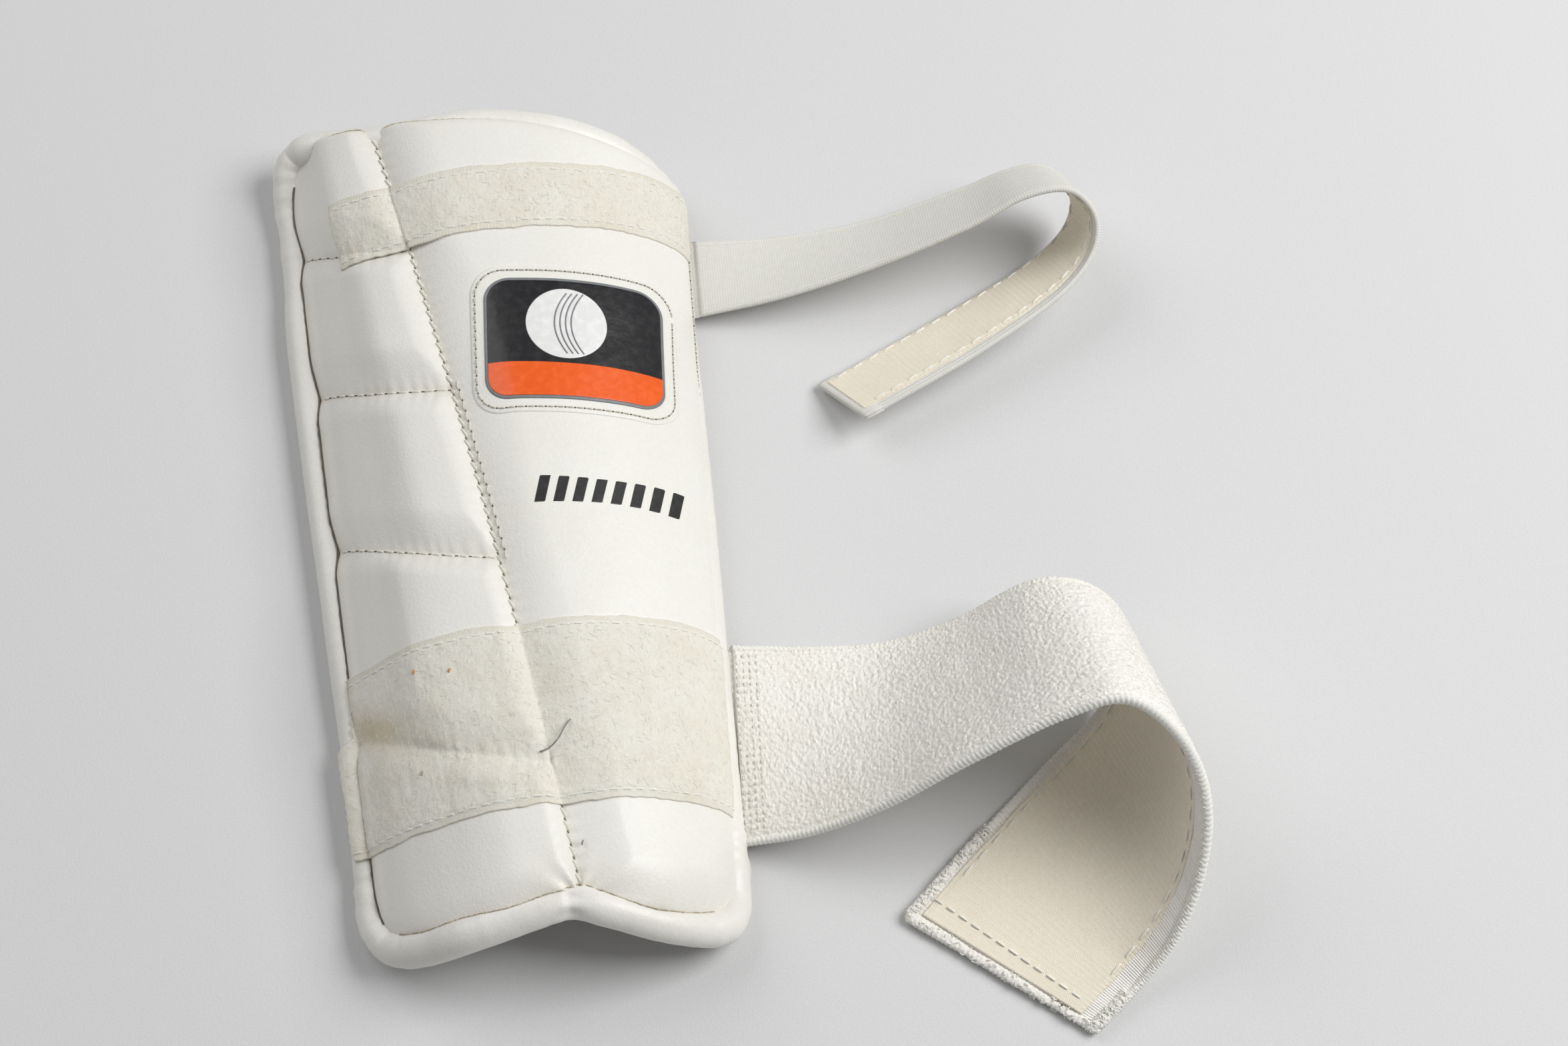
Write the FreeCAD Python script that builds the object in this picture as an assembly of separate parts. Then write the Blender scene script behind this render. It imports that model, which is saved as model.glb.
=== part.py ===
import FreeCAD, Part
import math
import os

V = FreeCAD.Vector

# Cricket arm guard, lying on its open side. Millimetres, +Z up.
# The origin is the middle of the open side that the forearm enters, in the resting plane.
# +Y runs to the elbow end, +X to the side where the two elastic straps are sewn in.

# Arch: each side is a quarter ellipse, and its reach grows towards the elbow end.
CROWN = 38.0
LEFT_REACH = 58.0
LEFT_FLARE = 0.047
RIGHT_REACH = 54.3
RIGHT_FLARE = 0.042
REACH_END = 140.0

# Cutting shapes reach past the guard: half their width, their height, and how far they overshoot.
SPAN = 90.0
TALL = 60.0
OVERSHOOT = 1.0

# Layers, as distances inward from the facing's outer surface.
SKIN = 1.0
FACING_DEPTH = 6.0
SHELL_DEPTH = 7.5
COMFORT_DEPTH = 10.6
LINING_DEPTH = 11.6

# Facing: the quilted cushion on top, inset from the left foot and ending low on the right.
FACING_LEFT_INSET = 7.5
FACING_FOOT = 6.0
FACING_CORNER = 6.0
CORNER_HEIGHTS = (-117.0, 127.0)
ELBOW_EDGE = [(-10, 120.4), (20, 116.2), (75, 98)]
WRIST_EDGE = [(75, -121), (25, -121.8), (6, -116.5), (-22, -120.5)]
DIAGONAL = [(-36.5, REACH_END), (-8.5, 0), (12, -REACH_END)]

# Seams across the side panel: height at its left edge, and where it meets the diagonal.
CELL_SEAMS = [(93.0, 80.0), (47.0, 33.5), (-1.5, -19.5), (-59.5, -80.0)]
SEAM_SAG = 2.5
SEAM_WALL = 2.0
GROOVE_HALF = 1.5
GROOVE_DEPTH = 2.5

# Padded roll round the whole edge.
ROLL_RADIUS = 5.0
ROLL_CORE = 3.9
ROLL_HEIGHT = 4.4
ROLL_CREST = 29.5
ROLL_CORNER = 5.5
ROLL_SHOULDER = 5.6
ROLL_INSET = 5.5
ROLL_ENDS = (-121.5, 119.8)
ELBOW_SKEW = -0.17

# Loop tapes across the facing.
TAPE_THICK = 1.4
TOP_TAPE = (-46.0, 80.0, 101.0)
BOTTOM_TAPE = (-47.5, -92.0, -40.5)

# Badge on the main panel.
BADGE_CENTRE = (21.0, 43.5)
BADGE_TURN = -4.0
PATCH_SIZE = (57.0, 46.0, 9.0)
PATCH_THICK = 0.7
INSERT_SIZE = (49.0, 38.0, 7.0)
INSERT_THICK = 0.8

# Elastic straps: a line across the strap at each station, far end then near end.
WIDE_STATIONS = [
    ((56, -41, 5), (52.2, -99, 5)), ((75, -43, 3), (70, -101, 14)), ((97, -45, 4), (90, -100, 27)),
    ((118, -44, 13), (112, -96, 43)), ((136, -41, 25), (136, -92, 56)), ((149, -43, 27), (152, -92, 61)),
    ((159, -50, 21), (165, -102, 53)), ((160, -61, 10), (170, -115, 42)), ((152, -72, 4), (168, -129, 27)),
    ((138, -83, 2), (161, -141, 14)), ((116, -101, 1.6), (151, -150, 5)), ((92, -122, 1.6), (138, -160, 1.6)),
]
NARROW_STATIONS = [
    ((60, 88, 5), (59.2, 63, 5)), ((83, 87, 4), (83, 63, 11)), ((110, 88, 6), (110, 66, 18)),
    ((137, 91, 13), (136, 70, 27)), ((152, 93, 18), (153, 74, 34)), ((163, 92, 19), (166, 74, 35)),
    ((170, 86, 13), (173, 68, 29)), ((167, 78, 7), (171, 59, 23)), ((154, 69, 3), (160, 49, 19)),
    ((130, 57, 2), (138, 37, 16)), ((109, 47, 2), (118, 28, 14)), ((90, 38, 2), (101, 21, 12)),
]
WIDE_THICK = 2.6
NARROW_THICK = 1.6
STEPS_PER_STATION = 3
FOLD_STATION = 5.5
FOLD_GAP = 0.1
HEM_LENGTH = 0.11
HEM_GAP = 0.01
HEM_EXTRA = 0.4
HOOK_THICK = 1.3
HOOK_GAP = 0.15
WIDE_HOOK = (6.6, 10.7, 3.5)
NARROW_HOOK = (5.8, 10.6, 2.5)
ROOT_GAP = 1.6
ANCHOR_DEPTH = 7.0
ANCHOR_THICK = 1.6


def left_reach(y):
    return LEFT_REACH + LEFT_FLARE * y


def right_reach(y):
    return RIGHT_REACH + RIGHT_FLARE * y


def quarter(reach, y, height):
    """Quarter ellipse from a foot up to the crest; a negative reach is the left side."""
    centre = V(0, y, 0)
    ellipse = Part.Ellipse(V(reach, y, 0), V(0, y, height), centre)
    return ellipse.toShape(0, math.pi / 2)


def arch_section(y, outer, inner):
    """Closed outline of one arched layer, between two depths below the facing's surface."""
    far, near = left_reach(y), right_reach(y)
    edges = [
        quarter(outer - far, y, CROWN - outer),
        quarter(near - outer, y, CROWN - outer),
        Part.makeLine(V(near - outer, y, 0), V(near - inner, y, 0)),
        quarter(near - inner, y, CROWN - inner),
        quarter(inner - far, y, CROWN - inner),
        Part.makeLine(V(inner - far, y, 0), V(outer - far, y, 0)),
    ]
    return Part.Wire(edges)


def arch(outer, inner):
    """One arched layer, longer than the guard at both ends."""
    sections = [arch_section(y, outer, inner) for y in (-REACH_END, REACH_END)]
    return Part.makeLoft(sections, True, True)


def outline(start, moves):
    """Plan outline. A move is a point, or a pair (via, end) for an arc."""
    edges = []
    here = V(start[0], start[1], 0)
    for move in moves + [start]:
        via, end = move if isinstance(move[0], tuple) else (None, move)
        there = V(end[0], end[1], 0)
        if via is None:
            edges.append(Part.makeLine(here, there))
        else:
            edges.append(Part.Arc(here, V(via[0], via[1], 0), there).toShape())
        here = there
    return Part.Face(Part.Wire(edges))


def prism(face, bottom=0.0, top=TALL):
    face = face.copy()
    face.translate(V(0, 0, bottom))
    return face.extrude(V(0, 0, top - bottom))


def diagonal_x(y):
    """Where the long seam between side panel and main panel lies at a given height."""
    top, middle, bottom = DIAGONAL
    share = y / REACH_END
    straight = middle[0] + (top[0] - bottom[0]) / 2 * share
    bow = (top[0] + bottom[0]) / 2 - middle[0]
    return straight + bow * share ** 2


def facing_left(y):
    return FACING_LEFT_INSET - left_reach(y)


def facing_outline():
    """Whole cushion in plan, with rounded corners."""
    moves = [ELBOW_EDGE[0], (ELBOW_EDGE[1], ELBOW_EDGE[2]), WRIST_EDGE[0]]
    low, high = [(facing_left(y), y) for y in CORNER_HEIGHTS]
    moves += [(WRIST_EDGE[1], WRIST_EDGE[2]), (WRIST_EDGE[3], low)]
    face = outline(high, moves)
    return face.makeOffset2D(-FACING_CORNER).makeOffset2D(FACING_CORNER)


def panel_outline(side):
    """Everything to one side of the diagonal seam: -1 is the side panel, +1 the main panel."""
    top, middle, bottom = DIAGONAL
    return outline((side * SPAN, REACH_END), [top, (middle, bottom), (side * SPAN, -REACH_END)])


def seam_points(left_y, right_y):
    left = (facing_left(left_y), left_y)
    right = (diagonal_x(right_y), right_y)
    middle = ((left[0] + right[0]) / 2, (left_y + right_y) / 2 - SEAM_SAG)
    return left, middle, right


def cell_outline(index):
    """One quilted cell of the side panel, running out past the panel's left edge."""
    moves = []
    start = (-SPAN, REACH_END)
    if index == 0:
        moves.append((diagonal_x(REACH_END), REACH_END))
    else:
        left, middle, right = seam_points(*CELL_SEAMS[index - 1])
        start = (-SPAN, left[1])
        moves += [left, (middle, right)]
    if index == len(CELL_SEAMS):
        moves += [(diagonal_x(-REACH_END), -REACH_END), (-SPAN, -REACH_END)]
    else:
        left, middle, right = seam_points(*CELL_SEAMS[index])
        moves += [right, (middle, left), (-SPAN, left[1])]
    return outline(start, moves)


def joined(shapes):
    return shapes[0].multiFuse(shapes[1:]).removeSplitter()


def largest(shape):
    """The one real solid of a cut that also leaves crumbs along shared faces."""
    return max(shape.Solids, key=lambda solid: solid.Volume)


def roll_quarter_edges(foot, end_y, skew, away):
    """Roll's axis over a quarter of an end arch: crest first, then down to the side run."""
    stretch = math.hypot(1, skew)
    along = V(math.copysign(1, foot), math.copysign(skew, foot * skew), 0) * (1 / stretch)
    span = abs(foot) * stretch
    base = ROLL_HEIGHT + ROLL_CORNER
    rise = ROLL_CREST - base
    shoulder = ROLL_SHOULDER
    big = ((span - shoulder) ** 2 + rise ** 2 - shoulder ** 2) / (2 * (rise - shoulder))
    lean = math.atan2(big - rise, span - shoulder)

    def at(distance, height):
        return V(0, end_y, base) + along * distance + V(0, 0, height)

    def on_big(angle):
        return at(big * math.cos(angle), rise - big + big * math.sin(angle))

    def on_shoulder(angle):
        return at(span - shoulder + shoulder * math.cos(angle), shoulder * math.sin(angle))

    crest = Part.Arc(on_big(math.pi / 2), on_big((math.pi / 2 + lean) / 2), on_big(lean))
    bend = Part.Arc(on_shoulder(lean), on_shoulder(lean / 2), on_shoulder(0))
    foot_point = on_shoulder(0)
    centre = foot_point + away * ROLL_CORNER
    turned = (V(0, 0, -1) - away) * (ROLL_CORNER / math.sqrt(2))
    corner = Part.Arc(foot_point, centre + turned, centre + V(0, 0, -ROLL_CORNER))
    return [crest.toShape(), bend.toShape(), corner.toShape()], centre + V(0, 0, -ROLL_CORNER)


def roll_side(side):
    """Feet of the roll's axis at the wrist and elbow ends: side is -1 on the left, +1 on the right."""
    reach = left_reach if side < 0 else right_reach
    flare = LEFT_FLARE if side < 0 else RIGHT_FLARE
    wrist_y, elbow_y = ROLL_ENDS
    wrist = V(side * (reach(wrist_y) - ROLL_INSET), wrist_y, 0)
    elbow_x = side * (reach(elbow_y) - ROLL_INSET) / (1 - side * flare * ELBOW_SKEW)
    return wrist, V(elbow_x, elbow_y + ELBOW_SKEW * elbow_x, 0)


def roll_half(radius, side):
    """Half of the edge roll: from the wrist end's crest round one side to the elbow end's crest."""
    wrist, elbow = roll_side(side)
    run = (elbow - wrist).normalize()
    start, start_foot = roll_quarter_edges(wrist.x, wrist.y, 0.0, run)
    finish, finish_foot = roll_quarter_edges(elbow.x, ROLL_ENDS[1], ELBOW_SKEW, run * -1)
    path = start + [Part.makeLine(start_foot, finish_foot)] + finish[::-1]
    crest = V(0, ROLL_ENDS[0], ROLL_CREST)
    ring = Part.Wire(Part.makeCircle(radius, crest, V(1, 0, 0)))
    return Part.Wire(path).makePipeShell([ring], True, True)


def roll(radius):
    loop = joined([roll_half(radius, -1), roll_half(radius, 1)])
    above_table = Part.makeBox(2 * SPAN, 2 * REACH_END, TALL, V(-SPAN, -REACH_END, 0))
    return loop.common(above_table)


def base_region():
    """Space inside the roll's axis loop, for the layers under the facing."""
    wrist, elbow = ROLL_ENDS
    corners = [(SPAN, elbow + ELBOW_SKEW * SPAN), (SPAN, wrist), (-SPAN, wrist)]
    return prism(outline((-SPAN, elbow - ELBOW_SKEW * SPAN), corners), ROLL_HEIGHT)


def badge_outline(size):
    """Rounded rectangle, turned a little to follow the panel."""
    width, height, corner = size
    w, h = width / 2 - corner, height / 2 - corner
    face = outline((-w, h), [(w, h), (w, -h), (-w, -h)]).makeOffset2D(corner)
    face.rotate(V(0, 0, 0), V(0, 0, 1), BADGE_TURN)
    face.translate(V(BADGE_CENTRE[0], BADGE_CENTRE[1], 0))
    return face


def smooth_point(points, u):
    """Point on a smooth curve through the stations, at station number u."""
    last = len(points) - 1
    i = min(int(u), last - 1)
    t = u - i
    b, c = points[i], points[i + 1]
    a = points[i - 1] if i > 0 else b * 2 - c
    d = points[i + 2] if i + 2 <= last else c * 2 - b
    return (b * 2 + (c - a) * t + (a * 2 - b * 5 + c * 4 - d) * t ** 2
            + (b * 3 - a - c * 3 + d) * t ** 3) * 0.5


def strap_frame(stations, u):
    """Both edges of the strap at station u, and the direction out of its outer face."""
    far = [V(*pair[0]) for pair in stations]
    near = [V(*pair[1]) for pair in stations]
    low = max(u - 0.05, 0)
    high = min(u + 0.05, len(stations) - 1)
    along = (smooth_point(far, high) - smooth_point(far, low)
             + smooth_point(near, high) - smooth_point(near, low))
    a, b = smooth_point(far, u), smooth_point(near, u)
    outward = (b - a).cross(along).normalize()
    return a, b, outward


def ribbon(stations, start, end, bottom, top, margin=0.0):
    """Closed strip between two station numbers and two heights above the strap's middle."""
    count = max(2, math.ceil((end - start) * STEPS_PER_STATION) + 1)
    sections = []
    for k in range(count):
        u = start + (end - start) * k / (count - 1)
        a, b, outward = strap_frame(stations, u)
        across = (b - a).normalize() * margin
        a, b = a + across, b - across
        corners = [a + outward * bottom, b + outward * bottom, b + outward * top, a + outward * top]
        sections.append(Part.makePolygon(corners + corners[:1]))
    return Part.makeLoft(sections, True, True)


def strap_anchor(stations):
    """Sewn-in end of a strap, inside the guard's edge."""
    far, near, outward = strap_frame(stations, 0)
    inward = V(-1, 0, 0)
    corners = [far + inward * ROOT_GAP, near + inward * ROOT_GAP]
    corners += [near + inward * (ROOT_GAP + ANCHOR_DEPTH), far + inward * (ROOT_GAP + ANCHOR_DEPTH)]
    face = Part.Face(Part.makePolygon(corners + corners[:1]))
    face.translate(V(0, 0, -ANCHOR_THICK / 2))
    return face.extrude(V(0, 0, ANCHOR_THICK))


def strap_parts(name, stations, thick, hook):
    """Web up to the fold, tail past it, hook tape on the tail's inner face, and the end hem."""
    half = thick / 2
    last = len(stations) - 1
    hem_start = last - HEM_LENGTH
    hook_start, hook_end, hook_margin = hook
    under = -half - HOOK_GAP
    return {
        name + "_web": ribbon(stations, 0, FOLD_STATION - FOLD_GAP / 2, -half, half),
        name + "_tail": ribbon(stations, FOLD_STATION + FOLD_GAP / 2, hem_start - HEM_GAP, -half, half),
        name + "_hook_tape": ribbon(stations, hook_start, hook_end, under - HOOK_THICK, under, hook_margin),
        name + "_end_hem": ribbon(stations, hem_start, last, -half - HEM_EXTRA, half),
    }


def facing_parts(edge):
    """Covers and foams of the quilted cushion."""
    parts = {}
    cushion = prism(facing_outline(), FACING_FOOT)
    inside = prism(facing_outline().makeOffset2D(-SKIN), FACING_FOOT + SKIN)
    block = arch(0.0, FACING_DEPTH).common(cushion).cut(edge)
    filling = arch(SKIN, FACING_DEPTH).common(inside).cut(edge)
    side = prism(panel_outline(-1))
    groove = arch(-OVERSHOOT, GROOVE_DEPTH).common(side)
    foams = []
    for index in range(len(CELL_SEAMS) + 1):
        cell = cell_outline(index)
        groove = groove.cut(prism(cell.makeOffset2D(-GROOVE_HALF)))
        foams.append(filling.common(prism(cell.makeOffset2D(-SEAM_WALL))))
        parts["side_foam_%d" % (index + 1)] = foams[-1]
    main = prism(panel_outline(1))
    parts["main_foam"] = filling.common(prism(panel_outline(1).makeOffset2D(-SKIN)))
    parts["side_cover"] = block.common(side).cut(groove).cut(joined(foams))
    parts["main_cover"] = largest(block.common(main).cut(parts["main_foam"]))
    return parts


def layer_parts(edge):
    """Impact shell, comfort foam and lining, nested against the edge roll."""
    region = base_region()
    depths = {
        "impact_shell": (FACING_DEPTH, SHELL_DEPTH),
        "comfort_foam": (SHELL_DEPTH, COMFORT_DEPTH),
        "lining": (COMFORT_DEPTH, LINING_DEPTH),
    }
    return {name: arch(*pair).common(region).cut(edge) for name, pair in depths.items()}


def tape(limits):
    """Loop tape laid across the facing, ending low on the right-hand side."""
    left, low, high = limits
    strip = outline((left, high), [(SPAN, high), (SPAN, low), (left, low)])
    return arch(-TAPE_THICK, 0.0).common(prism(strip, FACING_FOOT))


def badge_parts():
    top = PATCH_THICK + INSERT_THICK
    patch = arch(-PATCH_THICK, 0.0).common(prism(badge_outline(PATCH_SIZE), FACING_FOOT))
    insert = arch(-top, -PATCH_THICK).common(prism(badge_outline(INSERT_SIZE), FACING_FOOT))
    return {"badge_patch": patch, "badge_insert": insert}


def build():
    edge = roll(ROLL_RADIUS)
    anchors = {
        "top_strap_anchor": strap_anchor(NARROW_STATIONS),
        "bottom_strap_anchor": strap_anchor(WIDE_STATIONS),
    }
    sewn_in = joined(list(anchors.values()))
    core = roll(ROLL_CORE).cut(sewn_in)
    parts = {"edge_roll_cover": edge.cut(roll(ROLL_CORE)).cut(sewn_in), "edge_roll_core": core}
    parts.update(facing_parts(edge))
    parts.update(layer_parts(edge))
    parts["top_loop_tape"] = tape(TOP_TAPE)
    parts["bottom_loop_tape"] = tape(BOTTOM_TAPE)
    parts.update(badge_parts())
    parts.update(anchors)
    parts.update(strap_parts("top_strap", NARROW_STATIONS, NARROW_THICK, NARROW_HOOK))
    parts.update(strap_parts("bottom_strap", WIDE_STATIONS, WIDE_THICK, WIDE_HOOK))
    return parts


os.makedirs("parts", exist_ok=True)
for name, shape in build().items():
    print("%-22s solids %d volume %.1f" % (name, len(shape.Solids), shape.Volume))
    shape.exportStep("parts/%s.step" % name)
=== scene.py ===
import math

import bpy
import numpy as np
from mathutils import Euler, Matrix, Vector


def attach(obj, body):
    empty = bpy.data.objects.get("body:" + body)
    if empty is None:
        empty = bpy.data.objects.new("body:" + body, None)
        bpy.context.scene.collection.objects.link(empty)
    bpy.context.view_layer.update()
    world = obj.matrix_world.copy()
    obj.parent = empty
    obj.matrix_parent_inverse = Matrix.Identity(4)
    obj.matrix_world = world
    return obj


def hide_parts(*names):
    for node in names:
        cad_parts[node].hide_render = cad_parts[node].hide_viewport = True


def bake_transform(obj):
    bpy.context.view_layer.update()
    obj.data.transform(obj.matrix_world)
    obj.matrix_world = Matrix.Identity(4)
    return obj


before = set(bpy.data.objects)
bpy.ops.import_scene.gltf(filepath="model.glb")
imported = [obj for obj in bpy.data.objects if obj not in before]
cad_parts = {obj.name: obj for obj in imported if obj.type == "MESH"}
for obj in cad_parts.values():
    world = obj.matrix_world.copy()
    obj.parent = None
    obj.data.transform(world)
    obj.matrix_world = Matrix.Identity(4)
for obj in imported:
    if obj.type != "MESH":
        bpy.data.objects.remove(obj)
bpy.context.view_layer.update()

MM = 0.001

# The arch, in millimetres, as the CAD part has it: quarter ellipses that flare towards the elbow end.
CROWN = 38.0
LEFT_REACH = (58.0, 0.047)
RIGHT_REACH = (54.3, 0.042)
DEEPEST = 6.9
SEAM_DEPTH = 4.4
FOOT_HEIGHT = 5.2
LEFT_INSET = 2.2
RIDGES = (0.54, 0.62, 0.64, 0.50, 0.70)
FACET_SHARES = (0, 0.12, 0.30, 0.45, 0.58, 0.68, 0.85, 1.0)
FACET_DEPTHS = (4.2, 5.1, 5.1, 4.2, 2.5, 1.3, 1.2, 1.4)
CELL_SEAMS = [(93.0, 80.0), (47.0, 33.5), (-1.5, -19.5), (-59.5, -80.0)]
SEAM_SAG = 2.5
STITCH_PITCH = 3.9
RIGHT_FOOT = math.pi - math.asin(FOOT_HEIGHT / CROWN)
MEAN_REACH = 56

# A line across each strap at every station, far end then near end, as the CAD part has them.
WIDE_STATIONS = [
    ((56, -41, 5), (52.2, -99, 5)), ((75, -43, 3), (70, -101, 14)), ((97, -45, 4), (90, -100, 27)),
    ((118, -44, 13), (112, -96, 43)), ((136, -41, 25), (136, -92, 56)), ((149, -43, 27), (152, -92, 61)),
    ((159, -50, 21), (165, -102, 53)), ((160, -61, 10), (170, -115, 42)), ((152, -72, 4), (168, -129, 27)),
    ((138, -83, 2), (161, -141, 14)), ((116, -101, 1.6), (151, -150, 5)), ((92, -122, 1.6), (138, -160, 1.6)),
]
NARROW_STATIONS = [
    ((60, 88, 5), (59.2, 63, 5)), ((83, 87, 4), (83, 63, 11)), ((110, 88, 6), (110, 66, 18)),
    ((137, 91, 13), (136, 70, 27)), ((152, 93, 18), (153, 74, 34)), ((163, 92, 19), (166, 74, 35)),
    ((170, 86, 13), (173, 68, 29)), ((167, 78, 7), (171, 59, 23)), ((154, 69, 3), (160, 49, 19)),
    ((130, 57, 2), (138, 37, 16)), ((109, 47, 2), (118, 28, 14)), ((90, 38, 2), (101, 21, 12)),
]
WIDE_WIDTH, WIDE_THICK = 60, 2.3
NARROW_WIDTH, NARROW_THICK = 25, 1.5

# Station numbers: just inside the sewn-in end, and where each web is cut in two.
ROOT_START = -0.25
WEB_CUT = 3.0

# The lengths across the wide web's inner face start here, so that its finish can tell that face apart.
BACK_FROM = 100.0

# For each fold: the way across it, and how far in metres the bend reaches back and ahead of the joint.
FOLD_BENDS = {
    "bottom_strap": ((0.5, -0.35, -0.8), 0.0055, 0.0172),
    "top_strap": ((0.35, -0.5, -0.8), 0.0065, 0.0115),
}

# Axis of the edge roll, once round the guard: up the left side, over the elbow end, down the right side.
ROLL_AXIS = [
    (-48.0, -98, 4.6), (-49.2, -60, 4.6), (-51.6, -20, 4.8), (-54.6, 25, 4.6), (-56.6, 70, 4.6),
    (-56.3, 86, 4.6), (-56.9, 104, 5.0), (-57.7, 112, 5.4), (-57.5, 119, 7.5), (-56.7, 124.2, 10.0),
    (-54.0, 126.5, 12.0), (-50.6, 126.7, 15.5), (-38, 123.6, 21.0), (-32, 121.5, 24.0), (-27, 120.5, 25.5),
    (-20, 120.3, 26.8), (0, 119.8, 29.8), (20, 116.8, 28.2), (36, 112.8, 22.0), (46.5, 107.5, 13.5),
    (52.4, 101.0, 6.8), (52.2, 90, 4.6), (51.4, 55, 4.6), (50.6, 10, 4.6), (48.9, -40, 4.6),
    (47.8, -85, 4.6), (47.3, -106, 4.8), (46.6, -115, 5.4), (44.8, -120.4, 8.0), (40, -122.9, 12.0),
    (28, -122.6, 20.6), (15, -119.4, 27.5), (5, -116.6, 29.4), (-7, -118.4, 28.9), (-22, -120.8, 25.3),
    (-34, -120.2, 16.5), (-42.5, -117.0, 9.5), (-47.4, -109, 5.6),
]
ROLL_RADIUS = 5.0
LINING_CORNER = 15.0


# ---------------------------------------------------------------- numbers and noise

def hashed(i, j, seed):
    """Repeatable pseudo-random number from 0 to 1 for each pair of whole numbers."""
    return np.modf(np.abs(np.sin(i * 127.1 + j * 311.7 + seed * 74.7) * 43758.5453))[0]


def value_noise(a, b, size, seed):
    """Smooth noise from -1 to 1 over a plane, with features of that size."""
    a, b = np.asarray(a, float) / size, np.asarray(b, float) / size
    i, j = np.floor(a), np.floor(b)
    s, t = a - i, b - j
    s, t = s * s * (3 - 2 * s), t * t * (3 - 2 * t)
    low = hashed(i, j, seed) * (1 - s) + hashed(i + 1, j, seed) * s
    high = hashed(i, j + 1, seed) * (1 - s) + hashed(i + 1, j + 1, seed) * s
    return (low * (1 - t) + high * t) * 2 - 1


def bumps(a, b, pitch_a, pitch_b, seed):
    """Rounded lumps in jittered rows: 1 on top of a lump, 0 in the gaps between them."""
    a, b = np.asarray(a, float) / pitch_a, np.asarray(b, float) / pitch_b
    i, j = np.floor(a), np.floor(b)
    nearest = np.full(a.shape, 9.0)
    for di in (-1, 0, 1):
        for dj in (-1, 0, 1):
            ca = i + di + 0.5 + 0.55 * (hashed(i + di, j + dj, seed) - 0.5)
            cb = j + dj + 0.5 + 0.55 * (hashed(i + di, j + dj, seed + 5) - 0.5)
            nearest = np.minimum(nearest, (a - ca) ** 2 + (b - cb) ** 2)
    return np.clip(1 - nearest / 0.45, 0, 1)


def smooth_step(t):
    """Eased step that goes from 0 to 1 as t does."""
    t = np.clip(t, 0, 1)
    return t * t * (3 - 2 * t)


def through(points, u):
    """Points on a smooth curve through a list of points, at station numbers u."""
    p = np.asarray(points, float)
    p = np.vstack([2 * p[0] - p[1], p, 2 * p[-1] - p[-2]])
    i = np.clip(np.floor(u).astype(int), 0, len(points) - 2)
    t = (u - i)[:, None]
    a, b, c, d = p[i], p[i + 1], p[i + 2], p[i + 3]
    return 0.5 * (2 * b + (c - a) * t + (2 * a - 5 * b + 4 * c - d) * t ** 2
                  + (3 * b - a - 3 * c + d) * t ** 3)


def unit(v):
    """Vectors of the same direction with a length of 1."""
    return v / np.maximum(np.linalg.norm(v, axis=-1, keepdims=True), 1e-12)


def run_length(points):
    """Distance along a line of points, from its first one."""
    steps = np.linalg.norm(np.diff(points, axis=0), axis=1)
    return np.concatenate([[0], np.cumsum(steps)])


def sampled(at, s, rows):
    """Points or directions known at distances s, read off at the distances in at."""
    return np.stack([np.interp(at, s, rows[:, k]) for k in range(3)], 1)


def evenly(points, spacing, start=0.0):
    """Points at even spacing along a line, and the line's direction at each."""
    s = run_length(points)
    at = np.arange(start, s[-1], spacing)
    return sampled(at, s, points), unit(sampled(at + 0.4, s, points) - sampled(at - 0.4, s, points))


# ---------------------------------------------------------------- meshes

def mesh_object(name, points, faces, uv=None, smooth=True):
    """A Blender object from points in millimetres."""
    mesh = bpy.data.meshes.new(name)
    mesh.from_pydata((np.asarray(points) * MM).tolist(), [], [tuple(f) for f in faces])
    if smooth:
        mesh.polygons.foreach_set("use_smooth", [True] * len(mesh.polygons))
    if uv is not None:
        layer = mesh.uv_layers.new(name="lengths")
        corner = np.zeros(len(mesh.loops), np.int32)
        mesh.loops.foreach_get("vertex_index", corner)
        layer.data.foreach_set("uv", np.asarray(uv, np.float32)[corner].ravel())
    mesh.update()
    obj = bpy.data.objects.new(name, mesh)
    bpy.context.scene.collection.objects.link(obj)
    return obj


def mark_shade_and_soil(obj, shade_and_soil):
    """Records how brown each point of a slab is, from painted shade and soil, the same above and below."""
    layer = obj.data.attributes.new("shade_and_soil", "FLOAT", "POINT")
    layer.data.foreach_set("value", np.resize(shade_and_soil.astype(np.float32), len(obj.data.vertices)))


def grid_faces(rows, columns, first=0, wrap_rows=False, wrap_columns=False, flip=False):
    """Four-sided faces between neighbouring points of a grid."""
    i = np.arange(rows if wrap_rows else rows - 1)
    j = np.arange(columns if wrap_columns else columns - 1)
    i, j = np.meshgrid(i, j, indexing="ij")
    i2, j2 = (i + 1) % rows, (j + 1) % columns
    quads = np.stack([i * columns + j, i2 * columns + j, i2 * columns + j2, i * columns + j2], -1)
    quads = quads.reshape(-1, 4) + first
    return (quads[:, ::-1] if flip else quads).tolist()


def slab(name, top, bottom, uv=None):
    """Closed sheet between two grids of points of the same size."""
    rows, columns = top.shape[:2]
    count = rows * columns
    faces = grid_faces(rows, columns)
    faces += grid_faces(rows, columns, first=count, flip=True)
    border = [(i, 0) for i in range(rows)] + [(rows - 1, j) for j in range(1, columns)]
    border += [(i, columns - 1) for i in range(rows - 2, -1, -1)]
    border += [(0, j) for j in range(columns - 2, 0, -1)]
    ring = [i * columns + j for i, j in border]
    for a, b in zip(ring, ring[1:] + ring[:1]):
        faces.append((b, a, a + count, b + count))
    points = np.concatenate([top.reshape(-1, 3), bottom.reshape(-1, 3)])
    if uv is not None:
        uv = np.concatenate([uv.reshape(-1, 2)] * 2)
    return mesh_object(name, points, faces, uv)


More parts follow.
